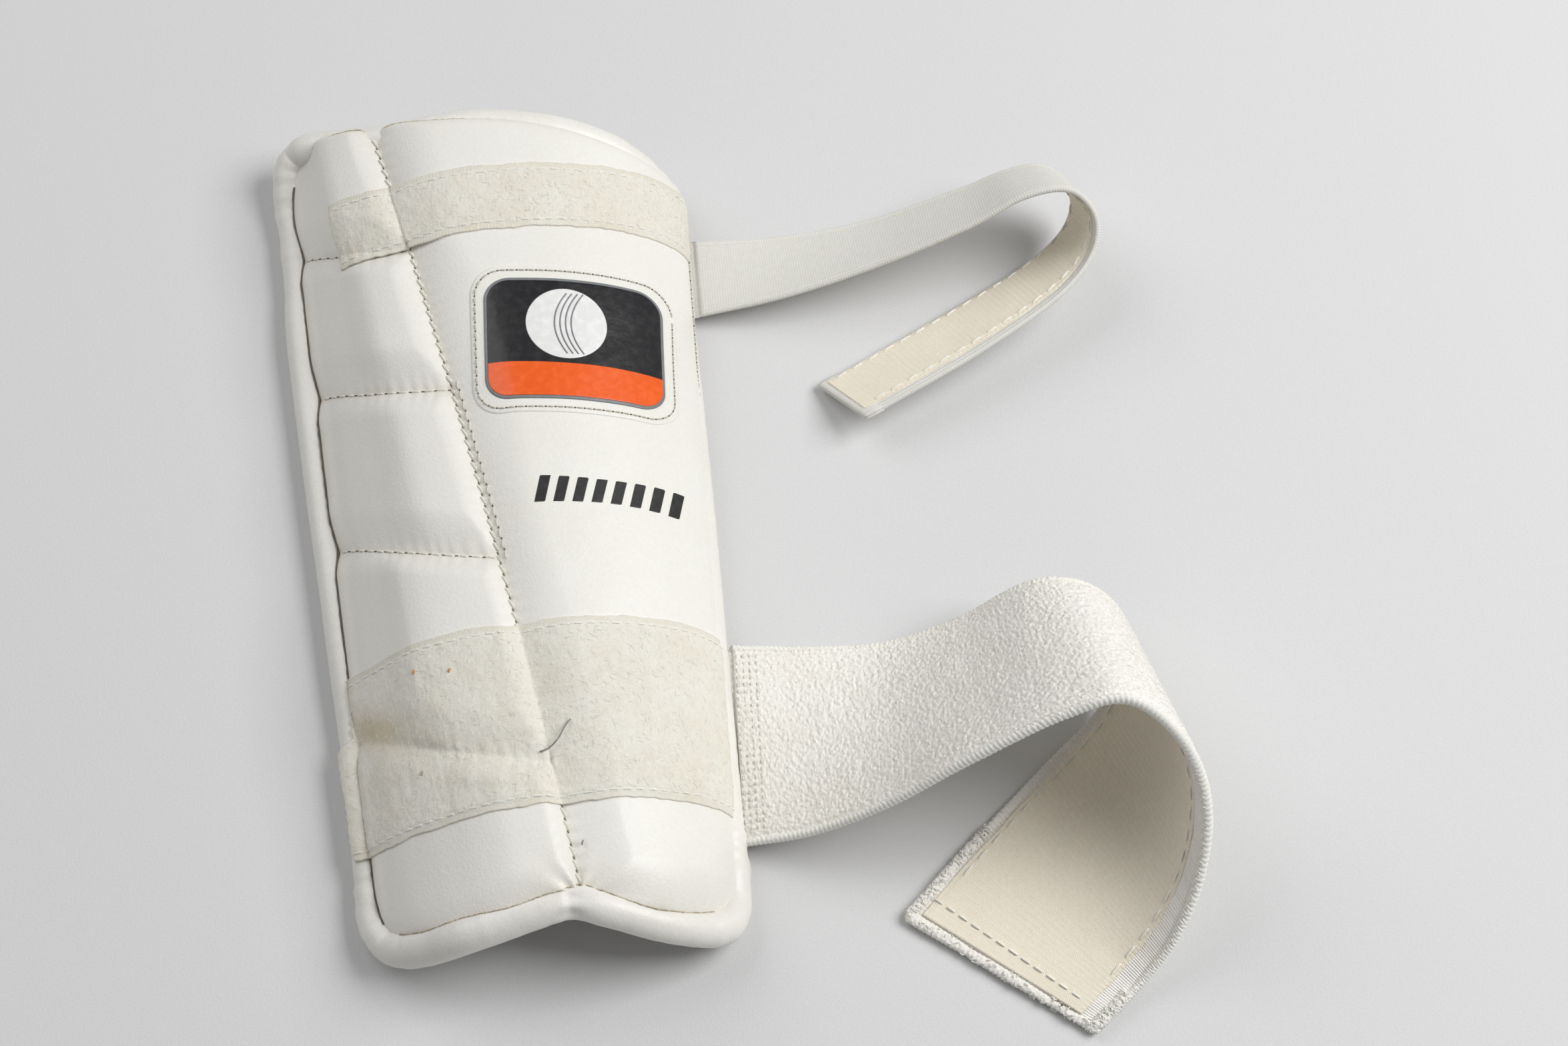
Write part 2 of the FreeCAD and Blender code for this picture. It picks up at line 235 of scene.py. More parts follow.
def tube(name, rings, closed=False, uv=None):
    """Skin over rings of points, capped at both ends unless it closes on itself."""
    rows, columns = rings.shape[:2]
    faces = grid_faces(rows, columns, wrap_rows=closed, wrap_columns=True)
    if not closed:
        faces.append(tuple(range(columns)))
        faces.append(tuple(reversed(range((rows - 1) * columns, rows * columns))))
    obj = mesh_object(name, rings.reshape(-1, 3), faces, None if uv is None else uv.reshape(-1, 2))
    first_cap = (rows if closed else rows - 1) * columns
    for cap in obj.data.polygons[first_cap:]:
        cap.use_smooth = False
    return obj


def fix_normals(obj):
    """Turns every face outwards."""
    import bmesh
    bm = bmesh.new()
    bm.from_mesh(obj.data)
    bmesh.ops.recalc_face_normals(bm, faces=bm.faces)
    bm.to_mesh(obj.data)
    bm.free()
    return obj


def threads(name, centres, along, normals, length, radius, arch=0.25, twist=0.0):
    """A row of stitches: each is a short thread that dives into the cloth at both ends."""
    sides, steps = 7, 7
    t = np.linspace(-1, 1, steps)
    angle = np.linspace(0, 2 * math.pi, sides, endpoint=False)
    side = unit(np.cross(normals, along))
    along = unit(along + side * twist)
    side = unit(np.cross(normals, along))
    spine = (centres[:, None] + along[:, None] * (t * length / 2)[None, :, None]
             + normals[:, None] * (arch * (1 - 2.2 * t ** 4))[None, :, None])
    thick = radius * np.sqrt(np.clip(1 - 0.75 * t ** 6, 0.05, 1))
    rings = (spine[:, :, None] + side[:, None, None] * (np.cos(angle) * thick[:, None])[None, :, :, None]
             + normals[:, None, None] * (np.sin(angle) * thick[:, None])[None, :, :, None])
    points, faces = [], []
    for k, skin in enumerate(rings):
        first = k * steps * sides
        points.append(skin.reshape(-1, 3))
        faces += grid_faces(steps, sides, first=first, wrap_columns=True)
        faces.append(tuple(range(first, first + sides)))
        faces.append(tuple(reversed(range(first + (steps - 1) * sides, first + steps * sides))))
    return fix_normals(mesh_object(name, np.concatenate(points), faces))


def rings_round(path, side, up, turn, size, wide=1.0, tall=1.0):
    """Rings of points round a path, with their width and height as shares of size."""
    return (path[:, None] + side[:, None] * (np.cos(turn) * size * wide)[..., None]
            + up[:, None] * (np.sin(turn) * size * tall)[..., None])


def rod(name, points, radius, uneven=0.0, sides=8):
    """A thin round length, such as a loose thread or a crease."""
    along = unit(np.gradient(points, axis=0))
    side = unit(np.cross(along, np.array([0.0, 0.0, 1.0])) + 1e-9)
    up = np.cross(side, along)
    angle = np.linspace(0, 2 * math.pi, sides, endpoint=False)
    k = np.arange(len(points))[:, None]
    size = radius * (1 + uneven * value_noise(k, angle[None, :] * 2, 2.0, 3))
    return fix_normals(tube(name, rings_round(points, side, up, angle, size)))


# ---------------------------------------------------------------- materials

def material(name, colour, roughness, **sockets):
    """A new material with plain values, its node tree and its shader."""
    mat = bpy.data.materials.new(name)
    mat.use_nodes = True
    shader = mat.node_tree.nodes["Principled BSDF"]
    shader.inputs["Base Color"].default_value = (*colour, 1)
    shader.inputs["Roughness"].default_value = roughness
    for socket, value in sockets.items():
        shader.inputs[socket.replace("_", " ")].default_value = value
    return mat, mat.node_tree, shader


def node(tree, kind, inputs=(), **settings):
    """A new node with its settings, whose inputs are values or links from other nodes."""
    made = tree.nodes.new(kind)
    for key, value in settings.items():
        setattr(made, key, value)
    for key, value in dict(inputs).items():
        if isinstance(value, bpy.types.NodeSocket):
            tree.links.new(value, made.inputs[key])
        else:
            made.inputs[key].default_value = value
    return made


def place(tree, lengths=False):
    """Coordinates for a texture: the mesh's own lengths in millimetres, or its place in metres."""
    coords = node(tree, "ShaderNodeTexCoord")
    return coords.outputs["UV" if lengths else "Object"]


def noise(tree, at, scale, detail, **inputs):
    """Cloudy noise from 0 to 1."""
    inputs = {"Vector": at, "Scale": scale, "Detail": detail, **inputs}
    return node(tree, "ShaderNodeTexNoise", inputs).outputs["Fac"]


def scaled(colour, share):
    """A lighter or darker shade of a colour."""
    return tuple(min(1, share * c) for c in colour)


def ramp(tree, factor, low, high, start=0.35, end=0.65):
    """Colour that goes from low to high between two values of the factor."""
    made = node(tree, "ShaderNodeValToRGB", {"Fac": factor})
    made.color_ramp.elements[0].position = start
    made.color_ramp.elements[1].position = end
    made.color_ramp.elements[0].color = (*low, 1)
    made.color_ramp.elements[1].color = (*high, 1)
    return made.outputs["Color"]


def mixed(tree, factor, a, b, blend="MIX"):
    """Mix of two colours."""
    made = node(tree, "ShaderNodeMix", data_type="RGBA", blend_type=blend)
    for index, value in ((0, factor), (6, a), (7, b)):
        if isinstance(value, bpy.types.NodeSocket):
            tree.links.new(value, made.inputs[index])
        else:
            made.inputs[index].default_value = value
    return made.outputs[2]


def bump(tree, height, depth, below=None):
    """Relief of a depth in metres, on top of the relief below it."""
    inputs = {"Height": height, "Distance": depth, "Strength": 1.0}
    if below is not None:
        inputs["Normal"] = below
    return node(tree, "ShaderNodeBump", inputs).outputs["Normal"]


def shaded_and_soiled(tree, tone):
    """Browns a finish where the piece's own points are marked: painted shade in creases and folds, and soil.
    """
    marks = node(tree, "ShaderNodeAttribute", attribute_name="shade_and_soil")
    # Brown tint for painted shade and soil.
    shade_and_stain = ramp(tree, marks.outputs["Fac"], (1, 1, 1), (0.74, 0.64, 0.47), 0.0, 1.0)
    return mixed(tree, 1.0, tone, shade_and_stain, "MULTIPLY")


def finish(tree, shader, tone, normal):
    """Gives a material its colour and its relief."""
    tree.links.new(tone, shader.inputs["Base Color"])
    tree.links.new(normal, shader.inputs["Normal"])


def leathercloth(name, colour, shade, roughness=0.42, grain=0.00006):
    """Coated cloth: fine pebbled grain, faint mottling and soft creasing."""
    mat, tree, shader = material(name, colour, roughness, Specular_IOR_Level=0.42, Coat_Weight=0.08,
                                 Coat_Roughness=0.45)
    at = place(tree)
    clouds = noise(tree, at, 38.0, 4.0)
    fine = ramp(tree, noise(tree, at, 900.0, 3.0), (0.72, 0.69, 0.62), (0.95, 0.94, 0.90))
    tone = mixed(tree, 0.10, ramp(tree, clouds, shade, colour, 0.30, 0.62), fine)
    pebble = node(tree, "ShaderNodeTexVoronoi", {"Vector": at, "Scale": 1500.0}, feature="SMOOTH_F1")
    creases = bump(tree, noise(tree, at, 260.0, 5.0, Distortion=0.6), 0.00003)
    finish(tree, shader, shaded_and_soiled(tree, tone), bump(tree, pebble.outputs["Distance"], grain, creases))
    gloss = node(tree, "ShaderNodeMapRange", {"Value": clouds, "To Min": roughness - 0.05,
                                              "To Max": roughness + 0.09})
    tree.links.new(gloss.outputs["Result"], shader.inputs["Roughness"])
    return mat


def pile(name, colour, shade, scale=950.0):
    """Brushed loop pile: matted fibres over a woven ground that shows through a little."""
    mat, tree, shader = material(name, colour, 0.92, Specular_IOR_Level=0.2, Sheen_Weight=0.25,
                                 Sheen_Roughness=0.5, Subsurface_Weight=0.05, Subsurface_Scale=0.002)
    at = place(tree)
    clouds = noise(tree, at, 75.0, 5.0)
    tufts = noise(tree, at, scale, 6.0, Roughness=0.7, Distortion=1.2)
    fibres = noise(tree, at, scale * 3.1, 4.0, Distortion=2.5)
    light = ramp(tree, tufts, scaled(shade, 0.93), scaled(colour, 1.05))
    tone = mixed(tree, 0.45, ramp(tree, clouds, shade, colour, 0.32, 0.64), light)
    finish(tree, shader, shaded_and_soiled(tree, tone), bump(tree, fibres, 0.00012, bump(tree, tufts, 0.0002)))
    return mat


def woven(name, colour, shade, pitch_along, pitch_across, depth, tilt=0.0, roughness=0.85):
    """Ribbed web: threads along and across, from the mesh's own lengths in millimetres."""
    mat, tree, shader = material(name, colour, roughness, Specular_IOR_Level=0.25, Sheen_Weight=0.12)
    at = place(tree, lengths=True)
    turned = node(tree, "ShaderNodeMapping", {"Vector": at, "Rotation": (0, 0, tilt)}).outputs["Vector"]
    bands = []
    for way, pitch, unevenness in (("X", pitch_along, 0.5), ("Y", pitch_across, 0.6)):
        inputs = {"Vector": turned, "Scale": 0.314 / pitch, "Distortion": unevenness, "Detail": 2.0,
                  "Detail Scale": 4.0}
        bands.append(node(tree, "ShaderNodeTexWave", inputs, bands_direction=way).outputs["Fac"])
    weave = node(tree, "ShaderNodeMath", {0: bands[0], 1: bands[1]}, operation="MULTIPLY").outputs["Value"]
    tone = ramp(tree, noise(tree, at, 0.5, 3.0), shade, colour, 0.3, 0.65)
    tone = mixed(tree, 0.5, tone, ramp(tree, weave, scaled(shade, 0.80), colour, 0.0, 0.45))
    fuzz = noise(tree, place(tree), 2200.0, 4.0)
    finish(tree, shader, tone, bump(tree, fuzz, 0.00008, bump(tree, weave, depth)))
    return mat


def terry(name, colour, shade):
    """Looped elastic: small twisted loops outside; the plain ribbed back has lengths from BACK_FROM on."""
    mat, tree, shader = material(name, colour, 0.88, Specular_IOR_Level=0.25, Sheen_Weight=0.25,
                                 Sheen_Roughness=0.45)
    at = place(tree, lengths=True)
    across = node(tree, "ShaderNodeSeparateXYZ", {"Vector": at}).outputs["Y"]
    back = node(tree, "ShaderNodeMath", {0: across, 1: BACK_FROM - 20},
                operation="GREATER_THAN").outputs["Value"]
    stretch = node(tree, "ShaderNodeMapping", {"Vector": at, "Scale": (1.0, 0.75, 1.0),
                                               "Rotation": (0, 0, 0.35)})
    loops = node(tree, "ShaderNodeTexVoronoi", {"Vector": stretch.outputs["Vector"], "Scale": 1.15,
                                                "Randomness": 0.85}, feature="SMOOTH_F1")
    ribs = node(tree, "ShaderNodeTexWave", {"Vector": at, "Scale": 0.35, "Distortion": 0.4, "Detail": 2.0})
    strands = noise(tree, place(tree), 2600.0, 3.0)
    tone = ramp(tree, noise(tree, place(tree), 60.0, 3.0), shade, colour, 0.35, 0.6)
    gaps = ramp(tree, loops.outputs["Distance"], colour, scaled(shade, 0.90), 0.15, 0.62)
    grooves = ramp(tree, ribs.outputs["Fac"], scaled(shade, 0.90), colour, 0.05, 0.5)
    tone = mixed(tree, 0.45, tone, mixed(tree, back, gaps, grooves))
    looped = node(tree, "ShaderNodeMath", {0: 1.0, 1: loops.outputs["Distance"]}, operation="SUBTRACT")
    ribbed = node(tree, "ShaderNodeMath", {0: 0.3, 1: ribs.outputs["Fac"]}, operation="MULTIPLY")
    height = node(tree, "ShaderNodeMix", {"Factor": back, "A": looped.outputs["Value"],
                                          "B": ribbed.outputs["Value"]})
    relief = bump(tree, height.outputs["Result"], 0.00045)
    finish(tree, shader, tone, bump(tree, strands, 0.00015, relief))
    return mat


def thread_material(name, colour):
    """Twisted sewing thread."""
    mat, tree, shader = material(name, colour, 0.6, Specular_IOR_Level=0.3, Sheen_Weight=0.2)
    at = place(tree)
    twist = node(tree, "ShaderNodeTexWave", {"Vector": at, "Scale": 700.0, "Distortion": 1.5},
                 bands_direction="DIAGONAL")
    tone = ramp(tree, twist.outputs["Fac"], scaled(colour, 0.80), colour, 0.1, 0.6)
    finish(tree, shader, tone, bump(tree, twist.outputs["Fac"], 0.00002))
    return mat


def shade_and_dirt(name, colour):
    """Matted dark brown with open pores: painted shade in creases, and dirt in a speck."""
    mat, tree, shader = material(name, colour, 0.95)
    pores = node(tree, "ShaderNodeTexVoronoi", {"Vector": place(tree), "Scale": 900.0})
    tone = ramp(tree, pores.outputs["Distance"], colour, scaled(colour, 0.72), 0.2, 0.7)
    finish(tree, shader, tone, bump(tree, pores.outputs["Distance"], 0.0004))
    return mat


def enamel(name, colour, roughness=0.32):
    """Welded badge film: almost smooth, with faint ripples and rubbed spots."""
    mat, tree, shader = material(name, colour, roughness, Specular_IOR_Level=0.5)
    rub = noise(tree, place(tree), 420.0, 6.0)
    tone = ramp(tree, rub, colour, tuple(min(1, c * 1.12 + 0.015) for c in colour), 0.45, 0.75)
    finish(tree, shader, tone, bump(tree, rub, 0.00012))
    return mat


# Near-black for painted shade in the needle holes and in the gap at the facing's left edge; also one dark
# speck on the wide strap's end.
PAINTED_SHADE_AND_SPECK = material("needle_holes", (0.16, 0.135, 0.10), 0.9)[0]
# Brown for painted shade in the creases along the facing's edges, and for one dirt speck.
CREASE_SHADE_AND_DIRT = shade_and_dirt("crease_shade_and_dirt", (0.62, 0.54, 0.41))
IVORY = leathercloth("ivory_leathercloth", (0.86, 0.85, 0.80), (0.84, 0.825, 0.765))
WHITE = leathercloth("white_leathercloth", (0.845, 0.83, 0.785), (0.80, 0.775, 0.72), 0.38, 0.00005)
LOOP_PILE = pile("loop_pile", (0.93, 0.905, 0.825), (0.88, 0.84, 0.735))
TOWEL = pile("towelling", (0.80, 0.78, 0.71), (0.70, 0.67, 0.60), scale=520.0)
NARROW_WEB = woven("narrow_web", (0.82, 0.81, 0.76), (0.76, 0.745, 0.69), 0.74, 0.70, 0.00006)
HOOKS = woven("hook_tape", (0.97, 0.905, 0.775), (0.95, 0.86, 0.70), 1.65, 0.53, 0.00012, roughness=0.7)
TERRY = terry("terry_web", (0.94, 0.92, 0.87), (0.91, 0.88, 0.81))
THREAD = thread_material("sewing_thread", (0.80, 0.78, 0.70))
CLEAR_THREAD = thread_material("clear_thread", (0.93, 0.925, 0.87))
GREY_THREAD = thread_material("loose_grey_thread", (0.30, 0.29, 0.27))
ORANGE_FLECK = thread_material("orange_fleck", (0.66, 0.30, 0.06))
AGED_THREAD = thread_material("aged_thread", (0.62, 0.585, 0.49))
BLACK = enamel("badge_black", (0.012, 0.012, 0.014))
GREY_RIM = enamel("badge_grey", (0.20, 0.21, 0.22), 0.4)
BADGE_WHITE = enamel("badge_white", (0.80, 0.80, 0.79))
ORANGE = enamel("badge_orange", (0.86, 0.115, 0.008))
INK = enamel("printed_ink", (0.012, 0.012, 0.012), 0.55)


def dress(obj, mat, body, replaced=()):
    """Material, body and the CAD nodes this piece stands for."""
    obj.data.materials.append(mat)
    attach(obj, body)
    if replaced:
        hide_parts(*replaced)
    return obj


# ---------------------------------------------------------------- the arch and the facing's surface

def left_reach(y):
    """Half width of the arch on its left."""
    return LEFT_REACH[0] + LEFT_REACH[1] * y


def right_reach(y):
    """Half width of the arch on its right."""
    return RIGHT_REACH[0] + RIGHT_REACH[1] * y


def arch_point(angle, y, offset):
    """Point on the arch: angle 0 is the left foot and pi the right one."""
    reach = np.where(angle < math.pi / 2, left_reach(y), right_reach(y)) + offset
    return np.stack([-reach * np.cos(angle), y + 0 * reach, (CROWN + offset) * np.sin(angle)], -1)


def arch_angle(x, y):
    """Angle of the arch's point over a plan position."""
    reach = np.where(np.asarray(x) < 0, left_reach(y), right_reach(y))
    return np.arccos(np.clip(-np.asarray(x) / reach, -1, 1))


ANGLES = np.linspace(0, math.pi / 2, 400)
ARC_STEPS = np.hypot(MEAN_REACH * np.cos(ANGLES), CROWN * np.sin(ANGLES)) * (ANGLES[1] - ANGLES[0])
ARC_LENGTHS = np.concatenate([[0], np.cumsum(ARC_STEPS[1:])])


def girth(angle):
    """Distance round the arch from its crest, negative on the left."""
    turn = angle - math.pi / 2
    return np.sign(turn) * np.interp(np.abs(turn), ANGLES, ARC_LENGTHS)


def angle_at(distance):
    """Angle of a point that far round the arch from its crest."""
    return math.pi / 2 + np.sign(distance) * np.interp(np.abs(distance), ARC_LENGTHS, ANGLES)


def left_edge(y):
    """Where the facing's left edge is."""
    return LEFT_INSET - left_reach(y)


def diagonal(y):
    """Where the long seam between the side panel and the main panel is."""
    return -8.5 - 24.25 * (y / 140) - 3.75 * (y / 140) ** 2


def left_girth(y):
    """Distance round the arch from its crest to the facing's left edge."""
    return girth(arch_angle(left_edge(y), y))


def seam_girth(y):
    """Distance round the arch from its crest to the long seam."""
    return girth(arch_angle(diagonal(y), y))


def elbow_edge(x):
    """Facing's upper edge, with its rounded left corner and a nick where the long seam ends."""
    along = x + 10
    rise = np.where(along < 0, -0.14 * along, -0.0836 * along - 0.0021 * along ** 2)
    near = np.clip(6 - (x + 61.4), 0, 6)
    return 120.4 + rise - 0.9 * np.exp(-((x + 31) / 4) ** 2) - (6 - np.sqrt(36 - near ** 2))


def wrist_edge(x):
    """Facing's lower edge: two bulges that meet where the long seam ends."""
    side = -116.6 - 4.0 * np.sin(np.clip((x + 50) / 56, 0, 1) * math.pi)
    main = -116.6 - 6.2 * np.sin(np.clip((x - 8) / 26, 0, 1) * math.pi / 2)
    left, right = np.clip(6 - (x + 50.4), 0, 6), np.clip(5 - (49.6 - x), 0, 5)
    return np.where(x < 7, side, main) + (6 - np.sqrt(36 - left ** 2)) + (5 - np.sqrt(25 - right ** 2))


def cell_seam(k, x):
    """Height of one seam across the side panel."""
    left_y, right_y = CELL_SEAMS[k]
    x_left, x_right = left_edge(left_y), diagonal(right_y)
    t = np.clip((x - x_left) / (x_right - x_left), 0, 1)
    return left_y + (right_y - left_y) * t - 4 * SEAM_SAG * t * (1 - t)


def round_off(distance, radius):
    """How far a stuffed edge has dropped, from 1 at the edge to 0 a radius in."""
    t = np.clip(distance / radius, 0, 1)
    return 1 - np.sqrt(1 - (1 - t) ** 2)


def bevel(distance, width, power=1.5):
    """How far a sewn-down slope has dropped, from 1 at the seam to 0 at its top."""
    t = np.clip(distance / width, 0, 1)
    return (1 - t) ** power * (1 + 0.4 * t)


def deepest(*depths):
    """Greatest of several depths, smoothed where two are alike."""
    return sum(np.clip(d, 0, None) ** 3 for d in depths) ** (1 / 3)


def puckers(distance, along, reach=2.6):
    """Small ridges that the needle holes pull up beside a seam."""
    wave = np.cos(along * 2 * math.pi / STITCH_PITCH + 1.3 * value_noise(along, 0 * along, 9, 2))
    return wave * np.exp(-np.abs(distance) / reach) * smooth_step(np.abs(distance) / 0.8)


def facet_depth(share, x, y):
    """How far the side panel lies under the plain arch: a flat facet up to a ridge, then a gentle top."""
    ridge = RIDGES[0] + 0 * y
    for k in range(len(CELL_SEAMS)):
        ridge = ridge + (RIDGES[k + 1] - RIDGES[k]) * smooth_step((cell_seam(k, x) - y) / 6 + 0.5)
    place_across = np.where(share < ridge, share * 0.64 / ridge, 0.64 + (share - ridge) * 0.36 / (1 - ridge))
    steps = np.linspace(-0.05, 0.05, 7)
    return sum(np.interp(place_across + step, FACET_SHARES, FACET_DEPTHS) for step in steps) / len(steps)


def side_depth(x, y, d_left, d_seam, share, seams):
    """Depth of the quilted side panel below the plain arch."""
    uneven = 1 + 0.15 * value_noise(x, y, 23, 11)
    depth = facet_depth(share, x, y)
    cells = 0
    for k in range(len(CELL_SEAMS)):
        d = y - cell_seam(k, x)
        above = 4.0 * bevel(np.abs(d), 13 * uneven, 1.7)
        below = 3.8 * bevel(np.abs(d), 8.0 * uneven, 2.1)
        cells = np.maximum(cells, np.where(d > 0, above, below) + 0.20 * puckers(d, x))
    valley = (SEAM_DEPTH - 0.7) * bevel(-d_seam, 6.5 * uneven, 2.0)
    room = 1 - depth / (DEEPEST + 0.4)
    grooves = (cells ** 3 + np.clip(valley, 0, None) ** 3) ** (1 / 3)
    return depth + seams * room * grooves - 0.5 * np.exp(-((d_left - 3) / 2.5) ** 2) * (1 - cells / 5)


def main_depth(x, y, d_seam, d_foot, seams):
    """Depth of the plain main panel below the arch."""
    uneven = 1 + 0.12 * value_noise(x, y, 27, 13)
    crisp = smooth_step((-70 - y) / 30)
    slope = bevel(d_seam, (17 - 2 * crisp) * uneven, 1.75 - 0.45 * crisp)
    return deepest(seams * SEAM_DEPTH * slope, 1.5 * round_off(d_foot, 4))


def facing_offset(angle, y, seams=1.0):
    """Height of the facing's surface over the plain arch. seams below 1 is cloth that bridges the seams."""
    x = arch_point(angle, y, 0)[..., 0]
    s = girth(angle)
    s_left, s_seam = left_girth(y), seam_girth(y)
    d_left, d_foot = s - s_left, girth(RIGHT_FOOT) - s
    d_seam, d_elbow, d_wrist = s - s_seam, elbow_edge(x) - y, y - wrist_edge(x)
    share = np.clip(d_left / np.maximum(s_seam - s_left, 1), 0, 1)
    side = side_depth(x, y, d_left, d_seam, share, seams)
    main = main_depth(x, y, d_seam, d_foot, seams)
    depth = np.where(d_seam < 0, side, main)
    depth = depth - 0.16 * seams * puckers(d_seam, y)
    depth = deepest(depth, 3.4 * round_off(d_elbow - 0.5, 4.0), 5.0 * bevel(d_wrist, 14, 1.8),
                    6.9 * round_off(d_wrist - 0.9, 3.6))
    depth = depth + 0.06 * value_noise(s, y, 9, 4) + 0.20 * value_noise(s, y, 33, 7)
    pinch = np.exp(-np.hypot(x - 8, (y + 117) * 0.8) / 7)
    depth = depth + 0.7 * pinch * np.cos(np.arctan2(y + 117, x - 8) * 8)
    return -np.clip(depth, -1.5, DEEPEST)


def facing_painted_shade(angle, y):
    """Painted shade on the facing: brown in its creases and along its edges, patchily."""
    x = arch_point(angle, y, 0)[..., 0]
    s = girth(angle)
    d_left, d_seam = s - left_girth(y), s - seam_girth(y)
    # Painted shade: brown where the facing dives under the roll, along its left edge and in the seam valleys.
    shade_and_soil = 0.55 * np.exp(-(y - wrist_edge(x)) / 2.6) + 0.40 * np.exp(-(elbow_edge(x) - y) / 1.8)
    shade_and_soil = shade_and_soil + 0.40 * np.exp(-d_left / 1.8) + 0.22 * np.exp(-np.abs(d_seam) / 1.5)
    for k in range(len(CELL_SEAMS)):
        shade_and_soil = shade_and_soil + 0.28 * np.exp(-np.abs(y - cell_seam(k, x)) / 1.5) * (d_seam < 0)
    return np.clip(shade_and_soil * (0.75 + 0.6 * value_noise(s, y, 7, 77)), 0, 1)


def on_facing(x, y, lift=0.0, seams=1.0):
    """Point on the facing over a plan position."""
    angle = arch_angle(x, y)
    return arch_point(angle, y, facing_offset(angle, y, seams) + lift)


def facing_normals(x, y):
    """Outward direction of the facing near a plan position."""
    dx = on_facing(x + 0.6, y) - on_facing(x - 0.6, y)
    dy = on_facing(x, y + 0.6) - on_facing(x, y - 0.6)
    return unit(np.cross(dx, dy))


def crowded(count, pull=0.55):
    """Steps from 0 to 1 that crowd together at both ends."""
    t = np.linspace(0, 1, count)
    return t - pull * np.sin(2 * math.pi * t) / (2 * math.pi)


def panel_grid(side, across, down):
    """Angles and heights of a grid over the side panel (-1) or the main panel (+1)."""
    u, v = np.meshgrid(crowded(across), crowded(down, 0.35), indexing="ij")
    y = -118 + 237 * v
    for _ in range(4):
        seam = arch_angle(diagonal(y), y)
        if side < 0:
            angle = arch_angle(left_edge(y), y) * (1 - u) + seam * u
        else:
            angle = seam * (1 - u) + RIGHT_FOOT * u
        x = arch_point(angle, y, 0)[..., 0]
        y = wrist_edge(x) * (1 - v) + elbow_edge(x) * v
    return angle, y


def make_panel(name, side, across, down):
    """One stuffed panel, from the facing's surface down to the shell."""
    angle, y = panel_grid(side, across, down)
    top = arch_point(angle, y, facing_offset(angle, y))
    bottom = arch_point(angle, y, -DEEPEST - 0.3 + 0 * y)
    panel = fix_normals(slab(name, top, bottom))
    mark_shade_and_soil(panel, facing_painted_shade(angle, y))
    return panel


def make_facing():
    """Quilted side panel and plain main panel."""
    foams = ["side_foam_%d" % (k + 1) for k in range(len(CELL_SEAMS) + 1)]
    side = make_panel("side_panel", -1, 110, 520)
    dress(side, IVORY, "guard", ["side_cover", *foams])
    main = make_panel("main_panel", 1, 150, 420)
    dress(main, IVORY, "guard", ["main_cover", "main_foam"])


# ---------------------------------------------------------------- edge roll and lining

def roll_path(count=900):
    """Evenly spaced points round the roll's closed axis, and the distance of each."""
    p = np.asarray(ROLL_AXIS, float)
    looped = np.vstack([p[-2:], p, p[:3]])
    dense = through(looped, np.linspace(2, len(p) + 2, 4000))[:-1]
    dense = np.vstack([dense, dense[:1]])
    s = run_length(dense)
    at = np.linspace(0, s[-1], count, endpoint=False)
    return sampled(at, s, dense), at


def make_roll():
    """Padded roll all round the edge, wrinkled at its corners and pinched where the long seam ends."""
    path, at = roll_path()
    along = unit(np.roll(path, -1, 0) - np.roll(path, 1, 0))
    inward = unit(np.array([0, 0, 4.0]) - path * np.array([1, 0.6, 0]))
    side = unit(np.cross(along, inward))
    inward = np.cross(side, along)
    turn = np.linspace(0, 2 * math.pi, 30, endpoint=False)
    x, y = path[:, :1], path[:, 1:2]
    pinch = np.exp(-((x - 5) / 3.6) ** 2) * (y < 0)
    corner = np.exp(-((np.abs(x) - 50) / 9) ** 2) * (np.abs(y) > 95)
    at = at[:, None]
    wrinkle = value_noise(at * 3.2, np.cos(turn) * 6, 7.0, 21) * (0.06 + 0.30 * corner + 0.25 * pinch)
    swell = 0.22 * value_noise(at, 0 * turn, 34, 9) + 0.06 * value_noise(at, turn * 4, 11, 2)
    creases = -0.9 * pinch * np.cos(turn * 3) ** 2
    radius = ROLL_RADIUS - 0.15 + swell + wrinkle + creases
    rings = rings_round(path, side, inward, turn, radius)
    rings[..., 2] = np.maximum(rings[..., 2], 0.0)
    roll = fix_normals(tube("edge_roll", rings, closed=True))
    dress(roll, WHITE, "guard", ["edge_roll_cover", "edge_roll_core"])


def make_lining():
    """Shell, comfort foam and towelling as one nested stack, tucked under the roll on every side."""
    u, v = np.meshgrid(np.linspace(0, 1, 150), np.linspace(0, 1, 300), indexing="ij")
    foot = math.asin(5.0 / 27)
    angle = foot + (math.pi - 2 * foot) * u
    from_foot = np.minimum(girth(angle) - girth(foot), girth(math.pi - foot) - girth(angle))
    y = -119 + 237 * v
    for _ in range(3):
        x = arch_point(angle, y, 0)[..., 0]
        low = wrist_edge(x) + 1.5 + LINING_CORNER * round_off(from_foot, LINING_CORNER)
        high = elbow_edge(x) - 1.5 - LINING_CORNER * round_off(from_foot, LINING_CORNER)
        y = low * (1 - v) + high * v
    s = girth(angle)
    loops = 0.30 * bumps(s, y, 1.5, 1.7, 8) + 0.25 * value_noise(s, y, 14, 6)
    top = arch_point(angle, y, -7.3 + 0 * y)
    bottom = arch_point(angle, y, -11.5 - loops)
    lining = fix_normals(slab("towelling_lining", top, bottom))
    dress(lining, TOWEL, "guard", ["lining", "comfort_foam", "impact_shell"])


# ---------------------------------------------------------------- seams

def rows_on_facing(xs, ys, lift=0.0, seams=1.0):
    """Line on the facing with its normals, from plan positions."""
    return on_facing(xs, ys, lift, seams), facing_normals(xs, ys)


def stitch_places(line, normals, pitch, start, margin):
    """Centres, directions and normals of stitches along a line, up to a margin before its end."""
    s = run_length(line)
    at = np.arange(start, s[-1] - margin, pitch)
    centres, along = evenly(line, pitch, start)
    return centres[:len(at)], along[:len(at)], unit(sampled(at, s, normals))


